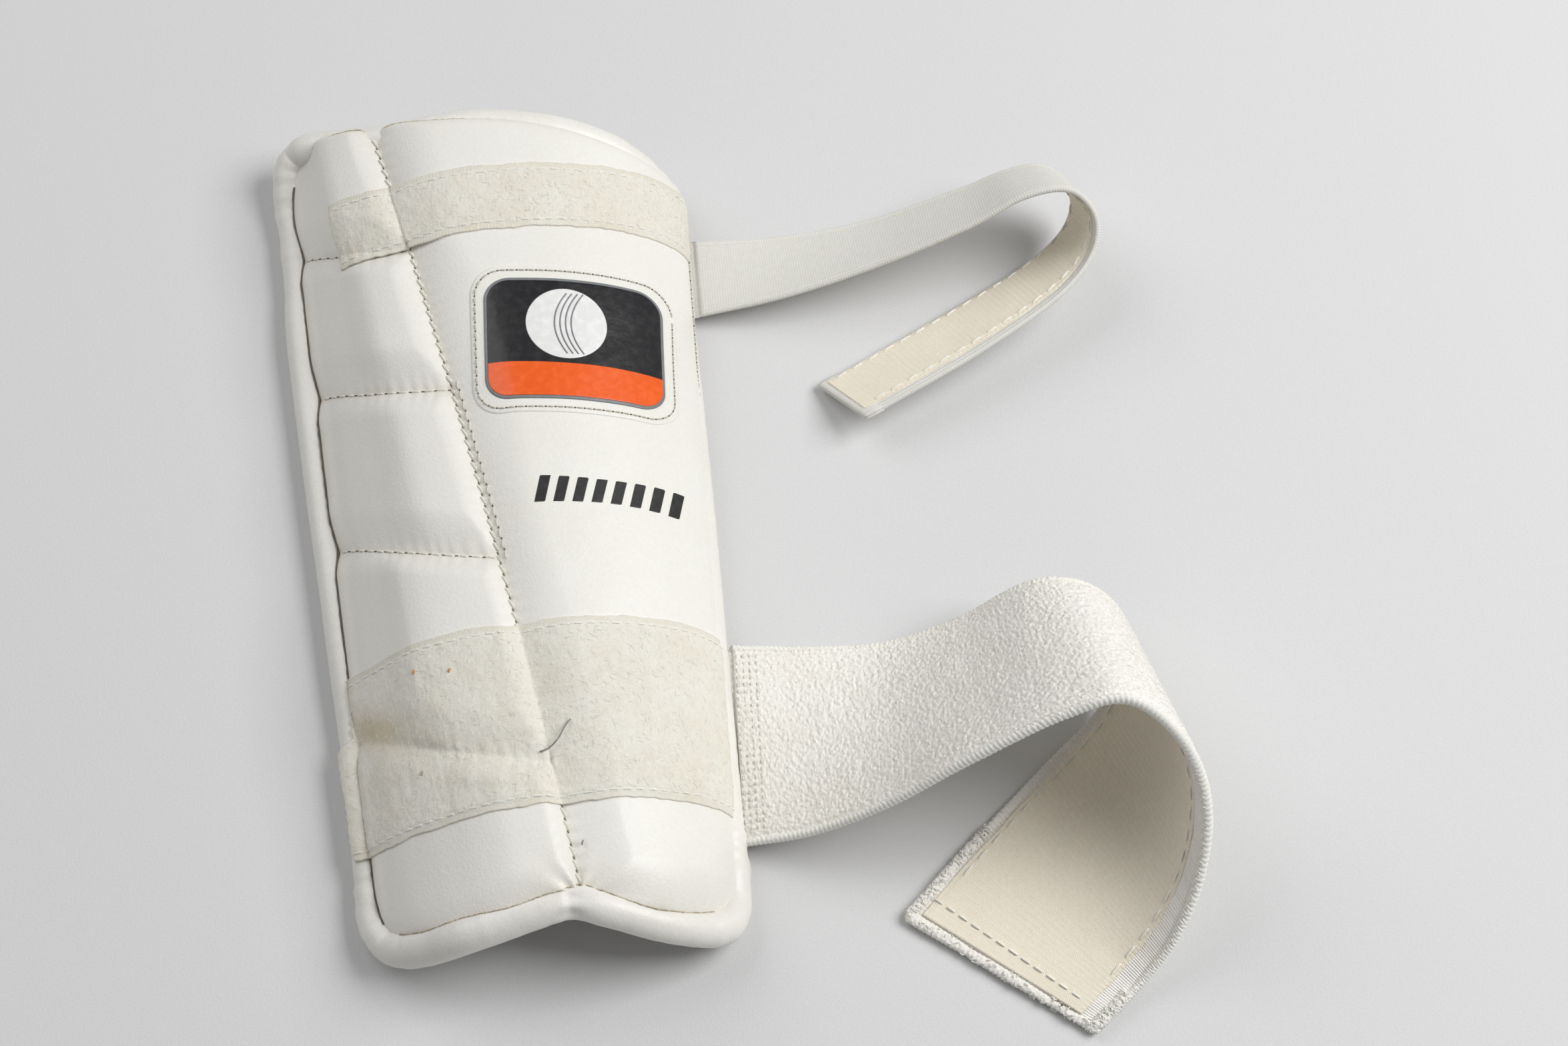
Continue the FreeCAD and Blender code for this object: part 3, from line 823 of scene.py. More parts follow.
def sew(name, line, normals, body, pitch=STITCH_PITCH, length=2.6, radius=0.30, arch=0.2, twist=0.0,
        mat=None, holes=0.0, start=0.5):
    """Running stitch along a line on a surface, with needle holes of a given length between stitches, painted
    as dark shade.
    """
    places = stitch_places(line, normals, pitch, pitch * start, 0.3)
    row = threads(name, *places, length, radius, arch, twist)
    dress(row, mat or THREAD, body)
    if holes:
        places = stitch_places(line, normals, pitch, pitch * (start + 0.5), 0.3)
        # Dark dashes painted as the shade in the needle holes.
        gaps = threads(name + "_holes", *places, holes, 0.20, 0.10, twist)
        dress(gaps, PAINTED_SHADE_AND_SPECK, body)


def make_seams():
    """Stitch rows of the quilting, the long seam and the facing's edges."""
    for k, (left_y, right_y) in enumerate(CELL_SEAMS):
        t = np.linspace(0.02, 0.985, 120)
        xs = left_edge(left_y) + (diagonal(right_y) - left_edge(left_y)) * t
        sew("cell_seam_%d" % (k + 1), *rows_on_facing(xs, cell_seam(k, xs)), "guard", holes=1.3)
    ys = np.linspace(119.5, -116, 500)
    sew("long_seam", *rows_on_facing(diagonal(ys) - 0.35, ys), "guard", pitch=3.6, length=3.3, radius=0.46,
        twist=0.38, holes=1.0)
    ys = np.linspace(36, -20, 160)
    sew("long_seam_second_row", *rows_on_facing(diagonal(ys) + 1.9, ys, 0.1), "guard", pitch=3.4, length=2.7,
        radius=0.26, twist=-0.3, holes=0.7)
    ys = np.linspace(98, -112, 400)
    xs = right_reach(ys) * math.cos(math.asin((FOOT_HEIGHT + 2.0) / CROWN))
    sew("facing_edge_row", *rows_on_facing(xs, ys, 0.05), "guard", pitch=3.0, length=2.1, radius=0.24,
        mat=AGED_THREAD, holes=0.8)


def roll_meeting(xs, ys):
    """Line where the facing comes out from behind the roll; each row of positions runs inwards."""
    points = on_facing(xs, ys)
    path = roll_path(700)[0]
    apart = np.stack([np.linalg.norm(path - point, axis=1).min() for point in points.reshape(-1, 3)])
    first = np.argmax(apart.reshape(xs.shape) > ROLL_RADIUS - 0.05, axis=1)
    line = points[np.arange(len(points)), first]
    soft = np.stack([np.convolve(line[:, k], np.ones(5) / 5, "valid") for k in range(3)], 1)
    return np.vstack([line[:2], soft, line[-2:]])


def make_painted_edge_shade():
    """Painted shade: a dark rod in the gap along the facing's left edge as its shadow, and brown rods as the
    shade in the creases along its other edges.
    """
    inwards = np.linspace(0, 4, 22)
    ys = np.linspace(117, -111, 260)
    left = roll_meeting(left_edge(ys)[:, None] + inwards, ys[:, None] + 0 * inwards)
    # Dark rod painted as the shadow in the gap where the facing meets the roll.
    gap = rod("left_edge_gap_shadow", left + np.array([-0.15, 0, 0.04]), 0.30, uneven=0.5)
    dress(gap, PAINTED_SHADE_AND_SPECK, "guard")
    xs = np.linspace(-46, 47, 200)
    wrist = roll_meeting(xs[:, None] + 0 * inwards, wrist_edge(xs)[:, None] + inwards)
    xs = np.linspace(-57, 47, 200)
    elbow = roll_meeting(xs[:, None] + 0 * inwards, elbow_edge(xs)[:, None] - inwards)
    # Brown rods painted as the shade in the creases where the facing dives under the roll.
    for name, line in (("wrist_crease_shade", wrist), ("elbow_crease_shade", elbow)):
        crease = rod(name, line, 0.17, uneven=0.7)
        dress(crease, CREASE_SHADE_AND_DIRT, "guard")


# ---------------------------------------------------------------- loop tapes

def over_edge(y, distance):
    """Point on the edge roll's left side, a distance past the facing's edge."""
    turn = -0.1 + distance / 5.5
    axis_x = 5.5 - left_reach(y)
    return np.stack([axis_x - 5.1 * np.sin(turn), y, 4.6 + 5.1 * np.cos(turn)], -1), \
        np.stack([-np.sin(turn), 0 * y, np.cos(turn)], -1)


def tape_surface(q, y, bridge, lift):
    """Point over the facing at a distance q in from its left edge; negative q lies over the roll."""
    angle = angle_at(left_girth(y) + np.maximum(q, 0))
    inside = arch_point(angle, y, facing_offset(angle, y, bridge) + lift)
    outside, normal = over_edge(y, np.maximum(-q, 0))
    share = smooth_step(0.5 - q / 1.6)[..., None]
    return inside * (1 - share) + (outside + normal * lift[..., None]) * share


def tape_left(y, x_left):
    """Where a tape's left end lies: a plan position, or past the facing's edge for a tape that wraps over."""
    if x_left is None:
        return -0.3 - 5.4 * smooth_step((-57 - y) / 4)
    return girth(arch_angle(x_left + 0 * y, y)) - left_girth(y)


def tape_shade_and_soil(q, y, edge):
    """How brown a loop tape is: painted shade in the fold over the last cell seam, and soil in faint clouds.
    """
    x = arch_point(angle_at(left_girth(y) + np.maximum(q, 0)), y, 0)[..., 0]
    above = y - cell_seam(len(CELL_SEAMS) - 1, x)
    # Painted shade: the tape's fold over the last cell seam, which slopes away from the light.
    fold = 0.75 * np.exp(-((above - 4.0) / 4.5) ** 2) * smooth_step(1 - q / 42) * smooth_step((q + 2) / 8)
    clouds = 0.16 * np.clip(value_noise(q, y, 12, 81), 0, 1) + 0.10 * np.clip(value_noise(q, y, 3, 82), 0, 1)
    return np.clip(fold + clouds + 0.10 * (edge < 1.6), 0, 1)


def tape_height(q, y, edge):
    """Height of a loop tape's face at a distance in from its edges: matted pile, sewn groove, flat edge."""
    inside = smooth_step((edge - 1.4) / 0.7)
    sewn = np.exp(-((edge - 2.3) / 0.45) ** 2)
    matted = 0.12 * value_noise(q, y, 2.6, 15) + 0.05 * value_noise(q, y, 0.9, 25)
    tufts = 0.10 * bumps(q, y, 1.1, 1.0, 5) + matted
    ribs = 0.07 * np.cos(q * 2 * math.pi / 0.9)
    return 0.45 + inside * (0.30 + tufts) - 0.20 * sewn + (1 - inside) * ribs


def make_tape(name, node_name, x_left, low, high, gap, bridge):
    """Loop tape over the facing: matted pile inside narrow woven edges, sewn down along both sides."""
    width = high - low
    right = girth(math.pi - math.asin((FOOT_HEIGHT + gap) / CROWN))
    u, v = np.meshgrid(np.linspace(0, 1, 330), crowded(int(width * 2.2), 0.3), indexing="ij")
    y = low + width * v
    run = u * 110
    y = y + 0.30 * value_noise(run, 0 * v, 7, 31) + 0.20 * value_noise(run, 0 * v, 1.7, 33) * (2 * v - 1)
    ragged = 0.35 * value_noise(v * width, 0 * v, 0.9, 17) + 0.6 * value_noise(v * 20, 0 * v, 6, 19)
    start = tape_left(y, x_left) + ragged
    q = start + (right - left_girth(y) - start) * u
    edge = np.minimum(v, 1 - v) * width
    top = tape_surface(q, y, bridge, tape_height(q, y, edge))
    bottom = tape_surface(q, y, bridge, 0 * y - 0.1)
    tape = fix_normals(slab(name, top, bottom, np.stack([q, y], -1)))
    mark_shade_and_soil(tape, tape_shade_and_soil(q, y, edge))
    dress(tape, LOOP_PILE, "guard", [node_name])
    for side, at_y in (("low", low + 2.2), ("high", high - 2.2)):
        ys = at_y + np.zeros(400)
        q = np.linspace(float(tape_left(np.array(at_y), x_left)) + 1.0,
                        float(right - left_girth(at_y)) - 1.0, 400)
        line = tape_surface(q, ys, bridge, 0.55 + 0 * ys)
        above = unit(tape_surface(q, ys, bridge, 1.5 + 0 * ys) - line)
        sew("%s_%s_row" % (name, side), line, above, "guard", pitch=3.5, length=2.9, radius=0.20,
            mat=CLEAR_THREAD, arch=0.18)
    add_fibres(name, low, width, x_left, right, bridge)


def add_fibres(name, low, width, x_left, right, bridge):
    """Single hairs that stand off the pile."""
    k = np.arange(int(width * 24))
    y = low + 2 + (width - 4) * hashed(k, 0 * k, 61)
    left = tape_left(y, x_left) + 1
    q = left + (right - left_girth(y) - 1 - left) * hashed(k, 0 * k + 1, 62)
    at = tape_surface(q, y, bridge, 0.80 + 0.12 * hashed(k, 0 * k + 2, 63))
    above = unit(tape_surface(q, y, bridge, 2.0 + 0 * y) - at)
    turn = 2 * math.pi * hashed(k, 0 * k + 3, 64)
    level = unit(np.cross(above, np.array([0.0, 1.0, 0.0])))
    along = level * np.cos(turn)[:, None] + np.cross(above, level) * np.sin(turn)[:, None]
    hairs = threads(name + "_hairs", at, along, above, 1.8, 0.038, arch=0.10)
    dress(hairs, CLEAR_THREAD, "guard")


def make_tapes():
    """Narrow loop tape at the elbow end, and the wide one that wraps over the edge roll."""
    make_tape("top_tape", "top_loop_tape", -46.0, 80.0, 101.0, 2.0, 0.72)
    make_tape("bottom_tape", "bottom_loop_tape", None, -92.0, -40.5, 0.5, 0.9)


def make_marks():
    """Loose thread ends and the odd speck of colour that show the guard has been handled."""
    t = np.linspace(0, 1, 24)
    xs, ys = 1.0 + 9.5 * t + 0.8 * np.sin(5 * t), -77.0 + 7.5 * t ** 1.5
    loose = rod("loose_thread", on_facing(xs, ys, 1.3 + 1.2 * np.sin(3.1 * t), 0.9), 0.22, uneven=0.3)
    dress(loose, GREY_THREAD, "guard")
    spots = [(-31, -48.5, ORANGE_FLECK), (-21, -51.0, ORANGE_FLECK), (-33, -76, CREASE_SHADE_AND_DIRT),
             (10, -103, GREY_THREAD)]
    for k, (x, y, mat) in enumerate(spots):
        at, above = rows_on_facing(np.array([x, x + 0.1]), np.array([y, y]), 0.9, 0.9)
        along = unit(np.array([[0.4, 0.9, 0.1]]))
        fleck = threads("fleck_%d" % (k + 1), at[:1], along, above[:1], 1.5, 0.25, arch=0.2)
        dress(fleck, mat, "guard")


# ---------------------------------------------------------------- badge and print

BADGE_CENTRE = (21.0, 43.5)
BADGE_TURN = math.radians(-4)
PATCH = (57, 46, 9)
PATCH_ROW = (54, 43, 7.8)
RIM = (49, 38, 7)
FIELD = (47.2, 36.2, 6.1)
BALL_CENTRE = (-2, 4.6)
BALL_RADIUS = 11


def on_panel(a, b, lift):
    """Badge coordinates to a point on the facing."""
    x = BADGE_CENTRE[0] + a * math.cos(BADGE_TURN) - b * math.sin(BADGE_TURN)
    y = BADGE_CENTRE[1] + a * math.sin(BADGE_TURN) + b * math.cos(BADGE_TURN)
    return on_facing(x, y, lift)


def rounded_box(width, height, corner, per_corner=14):
    """Outline of a rounded rectangle."""
    a, b = [], []
    for k, (sx, sy) in enumerate(((1, 1), (-1, 1), (-1, -1), (1, -1))):
        turn = math.pi / 2 * (k + np.linspace(0, 1, per_corner))
        a.append(sx * (width / 2 - corner) + corner * np.cos(turn))
        b.append(sy * (height / 2 - corner) + corner * np.sin(turn))
    return dense_loop(np.concatenate(a), np.concatenate(b))


def dense_loop(a, b, spacing=0.8):
    """Closed outline with points at even spacing."""
    a, b = np.append(a, a[0]), np.append(b, b[0])
    s = np.concatenate([[0], np.cumsum(np.hypot(np.diff(a), np.diff(b)))])
    at = np.linspace(0, s[-1], max(12, int(s[-1] / spacing)), endpoint=False)
    return np.interp(at, s, a), np.interp(at, s, b)


def plate(name, a, b, low, thick, rim=0.5, rings=26):
    """Thin plate with a rounded rim, laid on the facing: its outline is in badge coordinates."""
    mid_a, mid_b = a.mean(), b.mean()
    size = np.hypot(a - mid_a, b - mid_b).mean()
    scales = np.concatenate([np.linspace(0.04, 1 - rim / size, rings),
                             1 - rim / size * np.array([0.5, 0.15, 0])])
    drop = thick * np.concatenate([np.zeros(rings), [0.12, 0.45, 1.0]])
    rows = [on_panel(mid_a + (a - mid_a) * k, mid_b + (b - mid_b) * k, low + thick - d)
            for k, d in zip(scales, drop)]
    count = len(a)
    points = np.concatenate([np.stack(rows).reshape(-1, 3), on_panel(a, b, low - 0.15)])
    faces = grid_faces(len(rows) + 1, count, wrap_columns=True)
    faces.append(tuple(range(count)))
    faces.append(tuple(reversed(range(len(rows) * count, (len(rows) + 1) * count))))
    return fix_normals(mesh_object(name, points, faces))


def make_badge():
    """Sewn-on patch with a plain printed ball and one orange band."""
    patch = plate("badge_patch_piece", *rounded_box(*PATCH), 0.0, 0.30, rim=0.8)
    dress(patch, IVORY, "guard", ["badge_patch"])
    rim = plate("badge_rim", *rounded_box(*RIM), 0.30, 0.35, rim=0.4)
    dress(rim, GREY_RIM, "guard", ["badge_insert"])
    field = plate("badge_field", *rounded_box(*FIELD), 0.62, 0.14, rim=0.2)
    dress(field, BLACK, "guard")
    a, b = rounded_box(*FIELD)
    keep = b < -7.5
    band = plate("badge_band", *dense_loop(a[keep], b[keep]), 0.74, 0.10, rim=0.2)
    dress(band, ORANGE, "guard")
    turn = np.linspace(0, 2 * math.pi, 70, endpoint=False)
    ball = plate("badge_ball", BALL_CENTRE[0] + BALL_RADIUS * np.cos(turn),
                 BALL_CENTRE[1] + BALL_RADIUS * np.sin(turn), 0.74, 0.12, rim=0.3)
    dress(ball, BADGE_WHITE, "guard")
    rise = np.linspace(-0.86, 0.86, 40)
    for k in range(4):
        line = on_panel(-5.2 + 1.5 * k + 4.5 * rise ** 2, BALL_CENTRE[1] + BALL_RADIUS * rise, 0.90)
        seam = rod("badge_ball_seam_%d" % (k + 1), line, 0.20)
        dress(seam, GREY_RIM, "guard")
    a, b = rounded_box(*PATCH_ROW)
    line, above = on_panel(a, b, 0.34), unit(on_panel(a, b, 1.3) - on_panel(a, b, 0.34))
    sew("badge_row", line, above, "guard", pitch=2.7, length=1.9, radius=0.22, mat=AGED_THREAD, holes=0.7)


def make_print():
    """A row of slanted bars printed below the badge."""
    for k in range(8):
        mid = -9.6 + 5.1 * k
        tall = 3.5 + 0.5 * abs(k - 3.5) / 3.5
        low, high = -46.4 - tall, -46.4 + tall
        a = np.array([mid - 2.0, mid + 0.9, mid + 2.6, mid - 0.3])
        b = np.array([low, low, high, high])
        bar = plate("printed_bar_%d" % (k + 1), *dense_loop(a, b, 0.6), 0.0, 0.07, rim=0.05, rings=8)
        dress(bar, INK, "guard")


# ---------------------------------------------------------------- straps

def strap_frames(stations, u):
    """Both edges of a strap at station numbers u, with its outward direction."""
    def edges(at):
        """The far and the near edge at station numbers."""
        return [through([station[side] for station in stations], at) for side in (0, 1)]

    far, near = edges(u)
    last = len(stations) - 1
    far_back, near_back = edges(np.clip(u - 0.04, 0, last))
    far_ahead, near_ahead = edges(np.clip(u + 0.04, 0, last))
    along = unit(far_ahead - far_back + near_ahead - near_back)
    return far, near, unit(np.cross(near - far, along))


def strap_samples(stations, start, end, spacing):
    """Station numbers that are evenly spaced along the strap's middle, and the distance of each."""
    dense = np.linspace(start, end, 1500)
    far, near, _ = strap_frames(stations, dense)
    s = run_length((far + near) / 2)
    count = max(3, int(s[-1] / spacing))
    at = np.linspace(0, s[-1], count)
    return np.interp(at, s, dense), at


def strap_surface(stations, u, across, height):
    """Points on a strap: across is 0 at the far edge and 1 at the near edge."""
    far, near, outward = strap_frames(stations, u)
    base = far[:, None] + (near - far)[:, None] * across[..., None]
    return base + outward[:, None] * height[..., None]


def web_rings(stations, width, thick, start, end, spacing, columns, relief, back_from):
    """Rings of points round a strap web with rounded edges, with lengths for its weave.

    relief(length, width, face) adds the weave's own shape, on the outer face (1) and the inner one (-1);
    the inner face's lengths across start at back_from, so that its finish can differ."""
    u, at = strap_samples(stations, start, end, spacing)
    across = crowded(columns, 0.25)
    w = across * width
    rounding = np.clip(1 - np.minimum(w, width - w) / (thick / 2), 0, 1)
    cord = 0.5 * thick * np.sqrt(1 - rounding ** 2)
    fullness = smooth_step(cord / (0.5 * thick))[None, :]
    length, breadth = np.meshgrid(at, w, indexing="ij")
    outer = cord[None, :] + relief(length, breadth, 1) * fullness
    inner = cord[None, :] + relief(length, breadth, -1) * fullness
    grid = np.broadcast_to(across, length.shape)
    top = strap_surface(stations, u, grid, outer)
    under = strap_surface(stations, u, grid, -inner)[:, ::-1][:, 1:-1]
    uv = np.stack([length, breadth], -1)
    back = (uv + np.array([0, back_from]))[:, ::-1][:, 1:-1]
    return np.concatenate([top, under], 1), np.concatenate([uv, back], 1), u, at


def make_web(prefix, name, stations, width, thick, mat, spacing, columns, relief, back_from=0.0):
    """One strap in two lengths that meet halfway along the web."""
    rings, uv, u, at = web_rings(stations, width, thick, ROOT_START, 10.95, spacing, columns, relief,
                                back_from)
    split = int(np.searchsorted(u, WEB_CUT))
    whole = fix_normals(tube(name, rings))
    normals = np.array([tuple(v.normal) for v in whole.data.vertices]).reshape(rings.shape)
    bpy.data.objects.remove(whole)
    nodes = {"root": [prefix + "_web", prefix + "_anchor"], "end": [prefix + "_tail"]}
    for part, rows in (("root", slice(0, split + 1)), ("end", slice(split, None))):
        web = fix_normals(tube("%s_%s" % (name, part), rings[rows], uv=uv[rows]))
        web.data.normals_split_custom_set_from_vertices(normals[rows].reshape(-1, 3))
        web.data.materials.append(mat)
        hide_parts(*nodes[part])
        if part == "root":
            blend_at_root(web, prefix)
        else:
            blend_at_fold(web, prefix)


def make_edge_cord(prefix, stations, near):
    """Twisted cord woven along one edge of the wide strap."""
    u, at = strap_samples(stations, ROOT_START, 10.9, 0.3)
    split = int(np.searchsorted(u, WEB_CUT))
    far, close, outward = strap_frames(stations, u)
    across = unit(close - far)
    line = close - across * 0.95 if near else far + across * 0.95
    turn = np.linspace(0, 2 * math.pi, 18, endpoint=False)
    size = 1.22 + 0.16 * np.cos(at[:, None] * 2 * math.pi / 1.25 + turn)
    rings = rings_round(line, across, outward, turn, size, 0.85, 1.05)
    uv = np.stack(np.broadcast_arrays(at[:, None], 100 + turn[None, :]), -1)
    for part, rows, blend in (("root", slice(0, split + 1), blend_at_root),
                              ("end", slice(split, None), blend_at_fold)):
        name = "%s_cord_%s" % ("near" if near else "far", part)
        cord = fix_normals(tube(name, rings[rows], uv=uv[rows]))
        cord.data.materials.append(CLEAR_THREAD)
        blend(cord, prefix)


def wide_relief(length, breadth, face):
    """Terry loops outside, fine ribs inside, and a twisted cord along both edges."""
    edge = np.minimum(breadth, WIDE_WIDTH - breadth)
    inside = smooth_step((edge - 2.0) / 0.6)
    groove = -0.55 * np.exp(-((edge - 2.2) / 0.45) ** 2)
    cord = (1 - inside) * (0.20 * np.cos((length + edge * 0.8) * 2 * math.pi / 1.5) + 0.25)
    slack = 0.25 * value_noise(length, breadth, 19, 41) + 0.12 * value_noise(length, breadth, 6, 44)
    if face > 0:
        sewn = smooth_step((length + 1.0) / 8)
        loops = 0.60 * bumps(length, breadth, 1.05, 0.95, 3)
        loops = loops + 0.14 * bumps(length, breadth, 2.0, 1.8, 4) - 0.15
        rows = 0.25 * np.cos(length * 2 * math.pi / 2.0) - 0.15
        return inside * (loops * (0.45 + 0.55 * sewn) + rows * (1 - sewn)) + cord + groove + slack
    ribs = 0.06 * np.cos(length * 2 * math.pi / 1.1)
    return inside * ribs + cord + groove - slack


def narrow_relief(length, breadth, face):
    """Flat ribbed elastic with two fine cords along each edge."""
    edge = np.minimum(breadth, NARROW_WIDTH - breadth)
    cords = (0.16 * np.cos((edge - 0.6) * 2 * math.pi / 1.15)) * smooth_step((2.9 - edge) / 0.5)
    return cords + 0.05 * value_noise(length, breadth, 9, 43) * face


def hook_relief(length, breadth):
    """Rows of small stiff hooks on a woven tape."""
    rows = 0.06 * np.cos(length * 2 * math.pi / 1.65)
    return rows + 0.05 * bumps(length, breadth, 0.7, 0.8, 12) + 0.12 * value_noise(length, breadth, 8, 14)


def make_hook_tape(prefix, stations, width, thick, start, end, margins, columns):
    """Hook tape sewn on the inner face, between two margins from the strap's edges."""
    u, at = strap_samples(stations, start, end, 0.5)
    wobble = 0.30 * value_noise(at, 0 * at, 6, 51)
    low = (margins[0] + wobble)[:, None] / width
    high = 1 - (margins[1] + wobble * 0.6)[:, None] / width
    t = crowded(columns, 0.2)[None, :]
    across = low + (high - low) * t
    length, breadth = np.broadcast_to(at[:, None], across.shape), across * width
    edge = np.minimum(t, 1 - t) * (width - sum(margins)) + 0 * across
    raised = smooth_step((edge - 0.9) / 0.6)
    height = 0.5 * thick + 0.28 + raised * (0.17 + hook_relief(length, breadth))
    top = strap_surface(stations, u, across, -height)
    bottom = strap_surface(stations, u, across, -0.46 * thick + 0 * across)
    tape = fix_normals(slab(prefix + "_hooks", top, bottom, np.stack([length, breadth], -1)))
    tape.data.materials.append(HOOKS)
    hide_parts(prefix + "_hook_tape")
    blend_at_fold(tape, prefix)


def strap_line(stations, width, from_edge, start, end, lift, near=False):
    """Line along a strap, a distance in from its far or near edge, with the normals of that face."""
    u, _ = strap_samples(stations, start, end, 0.8)
    share = 1 - from_edge / width if near else from_edge / width
    far, close, outward = strap_frames(stations, u)
    return far + (close - far) * share + outward * lift, outward * np.sign(lift)


def cross_line(stations, u, low, high, lift):
    """Line across a strap at one station, between two shares of its width."""
    share = np.linspace(low, high, 60)[:, None]
    far, near, outward = strap_frames(stations, np.full(60, u))
    return far + (near - far) * share + outward * lift, outward * np.sign(lift)


def strap_row(prefix, name, line, normals, **stitch):
    """Stitches along the strap's end."""
    places = stitch_places(line, normals, stitch["pitch"], 1.0, 1.0)
    row = threads(name, *places, stitch["length"], stitch["radius"], 0.2, stitch.get("twist", 0.0))
    row.data.materials.append(CLEAR_THREAD)
    blend_at_fold(row, prefix)


def blend_at_root(obj, prefix):
    """Bakes the piece's place into its mesh."""
    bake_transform(obj)


def blend_at_fold(obj, prefix):
    """Bakes the piece's place into its mesh; the fold's lean is looked up but no bend is made."""
    lean, back, ahead = FOLD_BENDS[prefix]
    lean = unit(np.array(lean))
    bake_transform(obj)


def make_overlock(name, line, radius, seed, lumpy, loops_per_mm):
    """Overlocked edge: thread wrapped round and round, with stray loops where it has come loose."""
    s = run_length(line)
    at = np.linspace(0, s[-1], int(s[-1] / 0.35))
    path = sampled(at, s, line)
    along = unit(np.gradient(path, axis=0))
    side = unit(np.cross(along, np.array([0.0, 0.0, 1.0])))
    up = np.cross(side, along)
    turn = np.linspace(0, 2 * math.pi, 26, endpoint=False)
    ends = np.clip(np.minimum(at, s[-1] - at) / radius, 0, 1)[:, None]
    taper = np.sqrt(1 - (1 - ends) ** 2) * 0.98 + 0.02
    lumps = bumps(at[:, None] + 0 * turn, turn[None, :] * radius + 0 * at[:, None], 1.0, 0.95, seed)
    wraps = 0.13 * np.cos(at[:, None] * 2 * math.pi / 1.35 + turn)
    swell = 0.30 * value_noise(at[:, None], 0 * turn, 7, seed)
    size = taper * (radius + lumpy * lumps + wraps - 0.2 + swell)
    rings = rings_round(path, side, up, turn, size, 1.0, 0.75)
    uv = np.stack(np.broadcast_arrays(at[:, None], turn[None, :] * radius), -1)
    roll = fix_normals(tube(name, rings, uv=uv))
    count = int(s[-1] * loops_per_mm)
    loops = stray_loops(name + "_loops", path, along, side, up, radius, seed, count)
    for piece in (roll, loops):
        dress(piece, TERRY if piece is roll else CLEAR_THREAD, "bottom_strap_end")
    return roll


def stray_loops(name, path, along, side, up, radius, seed, count):
    """Short loops of thread that stand off an overlocked edge, scattered along it and round it."""
    k = np.arange(count)
    row = (hashed(k, 0 * k, seed) * (len(path) - 1)).astype(int)
    spin = 2 * math.pi * hashed(k, 0 * k + 1, seed)
    out = unit(side[row] * np.cos(spin)[:, None] + up[row] * np.sin(spin)[:, None])
    lean = 2 * math.pi * hashed(k, 0 * k + 2, seed)
    level = np.cross(out, along[row])
    direction = along[row] * np.cos(lean)[:, None] + level * np.sin(lean)[:, None]
    centre = path[row] + out * (radius * 0.78)
    return threads(name, centre, direction, out, 1.5, 0.16, arch=0.35)


def strap_corner(stations, share, u, lift):
    """One point on a strap, at a share of its width and a station number."""
    far, near, outward = strap_frames(stations, np.array([u]))
    return (far + (near - far) * share + outward * lift)[0]


def make_wide_strap():
    """Wide looped elastic with its hook tape, stitch rows and frayed end."""
    stations, last = WIDE_STATIONS, len(WIDE_STATIONS) - 1
    make_web("bottom_strap", "wide_elastic", stations, WIDE_WIDTH, WIDE_THICK, TERRY, 0.45, 150,
             wide_relief, BACK_FROM)
    make_hook_tape("bottom_strap", stations, WIDE_WIDTH, WIDE_THICK, 5.9, 10.94, (3.4, 6.6), 100)
    rows = {"pitch": 6.0, "length": 4.4, "radius": 0.24}
    for name, inset, near in (("wide_near_row", 8.0, True), ("wide_far_row", 5.0, False)):
        line = strap_line(stations, WIDE_WIDTH, inset, 6.0, 10.5, -1.70, near)
        strap_row("bottom_strap", name, *line, **rows)
    strap_row("bottom_strap", "wide_end_row", *cross_line(stations, 10.76, 0.06, 0.88, -1.70), pitch=4.0,
              length=3.1, radius=0.27)
    end = np.stack([strap_corner(stations, t, last, -0.35) for t in np.linspace(0, 1, 40)])
    hem = make_overlock("end_overlock", end, 1.7, 71, 0.06, 3)
    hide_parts("bottom_strap_end_hem")
    far = np.stack([strap_corner(stations, 0.02, u, -0.6) for u in np.linspace(last, last - 1.05, 30)])
    make_overlock("far_edge_tuft", far, 1.5, 72, 0.20, 10)
    near = np.stack([strap_corner(stations, 0.97, u, -0.8) for u in np.linspace(last, last - 0.75, 30)])
    make_overlock("near_edge_tuft", near, 1.6, 73, 0.20, 10)
    speck = cross_line(stations, last - 0.02, 0.80, 0.83, -2.1)
    for near in (False, True):
        make_edge_cord("bottom_strap", stations, near)
    along = unit(speck[0][1:2] - speck[0][:1])
    fleck = threads("end_speck", speck[0][:1], along, speck[1][:1], 0.7, 0.32, 0.2)
    dress(fleck, PAINTED_SHADE_AND_SPECK, "bottom_strap_end")
    for k in range(4):
        line, normals = cross_line(stations, 0.02 + 0.095 * k, 0.045, 0.955, 1.25)
        places = stitch_places(line, normals, 2.1, 1.0, 0.0)
        row = threads("root_row_%d" % (k + 1), *places, 1.5, 0.24, 0.25)
        row.data.materials.append(THREAD)
        blend_at_root(row, "bottom_strap")


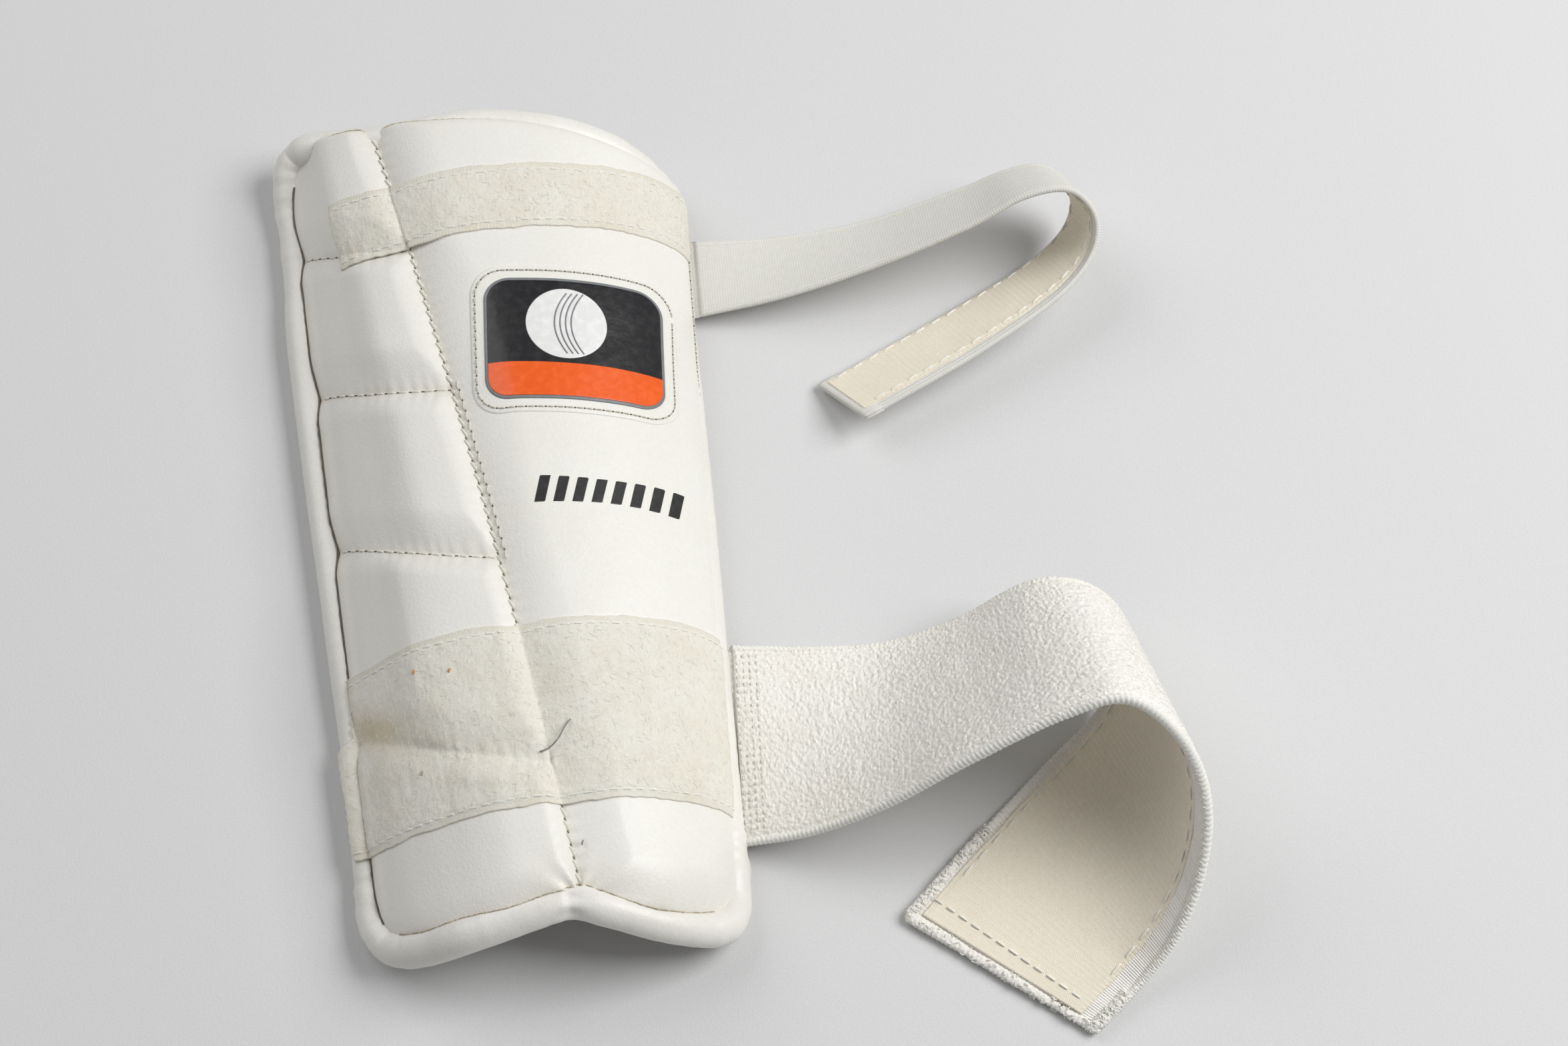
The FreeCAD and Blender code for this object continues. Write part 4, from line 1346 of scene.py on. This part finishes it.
def make_narrow_strap():
    """Narrow ribbed elastic with its hook tape, stitch rows and folded end."""
    stations, last = NARROW_STATIONS, len(NARROW_STATIONS) - 1
    make_web("top_strap", "narrow_elastic", stations, NARROW_WIDTH, NARROW_THICK, NARROW_WEB, 0.5, 64,
             narrow_relief)
    make_hook_tape("top_strap", stations, NARROW_WIDTH, NARROW_THICK, 5.6, 10.93, (0.9, 3.2), 48)
    rows = {"pitch": 5.4, "length": 4.0, "radius": 0.24, "twist": 0.12}
    for name, inset, near in (("narrow_near_row", 4.6, True), ("narrow_far_row", 2.3, False)):
        line = strap_line(stations, NARROW_WIDTH, inset, 5.7, 10.85, -1.19, near)
        strap_row("top_strap", name, *line, **rows)
    u = np.array([last - 0.30, last - 0.12, last - 0.02, last + 0.03])
    for k, lift in enumerate((-0.55, 0.35)):
        far, near, outward = strap_frames(stations, u)
        grid = np.linspace(0, 1, 30)[None, :, None]
        base = far[:, None] + (near - far)[:, None] * grid + outward[:, None] * lift
        thin = np.array([0.30, 0.42, 0.40, 0.12])[:, None, None]
        layer = slab("end_fold_%d" % (k + 1), base + outward[:, None] * thin, base - outward[:, None] * thin,
                     np.stack(np.broadcast_arrays(u[:, None] * 20, grid[..., 0] * NARROW_WIDTH), -1))
        dress(fix_normals(layer), NARROW_WEB, "top_strap_end",
              ["top_strap_end_hem"] if k == 0 else ())


# ---------------------------------------------------------------- stage

def make_stage():
    """Plain pale floor."""
    corners = [(3000 * a, 3000 * b, -0.05) for a, b in ((-1, -1), (1, -1), (1, 1), (-1, 1))]
    floor = mesh_object("floor", corners, [(0, 1, 2, 3)])
    mat, tree, shader = material("backdrop", (0.70, 0.70, 0.71), 0.9, Specular_IOR_Level=0.15)
    cloth = noise(tree, place(tree), 1500.0, 3.0)
    tone = ramp(tree, cloth, (0.70, 0.70, 0.705), (0.72, 0.72, 0.725))
    finish(tree, shader, tone, bump(tree, cloth, 0.00008))
    floor.data.materials.append(mat)


def add_light(name, place_at, target, size, power, colour):
    """Square studio light that faces a target."""
    data = bpy.data.lights.new(name, "AREA")
    data.shape, data.size, data.energy, data.color = "SQUARE", size, power, colour
    lamp = bpy.data.objects.new(name, data)
    lamp.location = place_at
    lamp.rotation_euler = (Vector(target) - Vector(place_at)).to_track_quat("-Z", "Y").to_euler()
    bpy.context.scene.collection.objects.link(lamp)


def make_lights():
    """Key light on the right, a broad fill behind on the left, and a dim even surround."""
    add_light("key", (1.11, 0.0, 1.19), (0.04, 0, 0), 0.9, 20.5, (1, 1, 0.995))
    add_light("fill", (-0.72, 0.76, 1.16), (0.04, 0, 0), 1.2, 7.6, (1, 1, 1))
    world = bpy.data.worlds.new("studio")
    world.use_nodes = True
    world.node_tree.nodes["Background"].inputs["Color"].default_value = (1, 1, 1, 1)
    world.node_tree.nodes["Background"].inputs["Strength"].default_value = 0.21
    bpy.context.scene.world = world


CAMERA_TARGET = (0.0742, -0.0032, 0)
CAMERA_DISTANCE = 0.862
CAMERA_TILT = math.radians(25)
CAMERA_TURN = math.radians(-7.1)


def make_camera():
    """Camera above the wrist end, looking down over the guard."""
    data = bpy.data.cameras.new("camera")
    data.lens, data.sensor_width = 70, 36
    camera = bpy.data.objects.new("camera", data)
    turned = Euler((CAMERA_TILT, 0, CAMERA_TURN)).to_matrix().to_4x4()
    back = Matrix.Translation((0, 0, CAMERA_DISTANCE))
    camera.matrix_world = Matrix.Translation(CAMERA_TARGET) @ turned @ back
    bpy.context.scene.collection.objects.link(camera)
    bpy.context.scene.camera = camera
    bpy.context.scene.view_settings.view_transform = "Standard"


make_camera()
make_lights()
make_stage()
make_facing()
make_roll()
make_lining()
make_seams()
make_painted_edge_shade()
make_tapes()
make_badge()
make_print()
make_marks()
make_wide_strap()
make_narrow_strap()
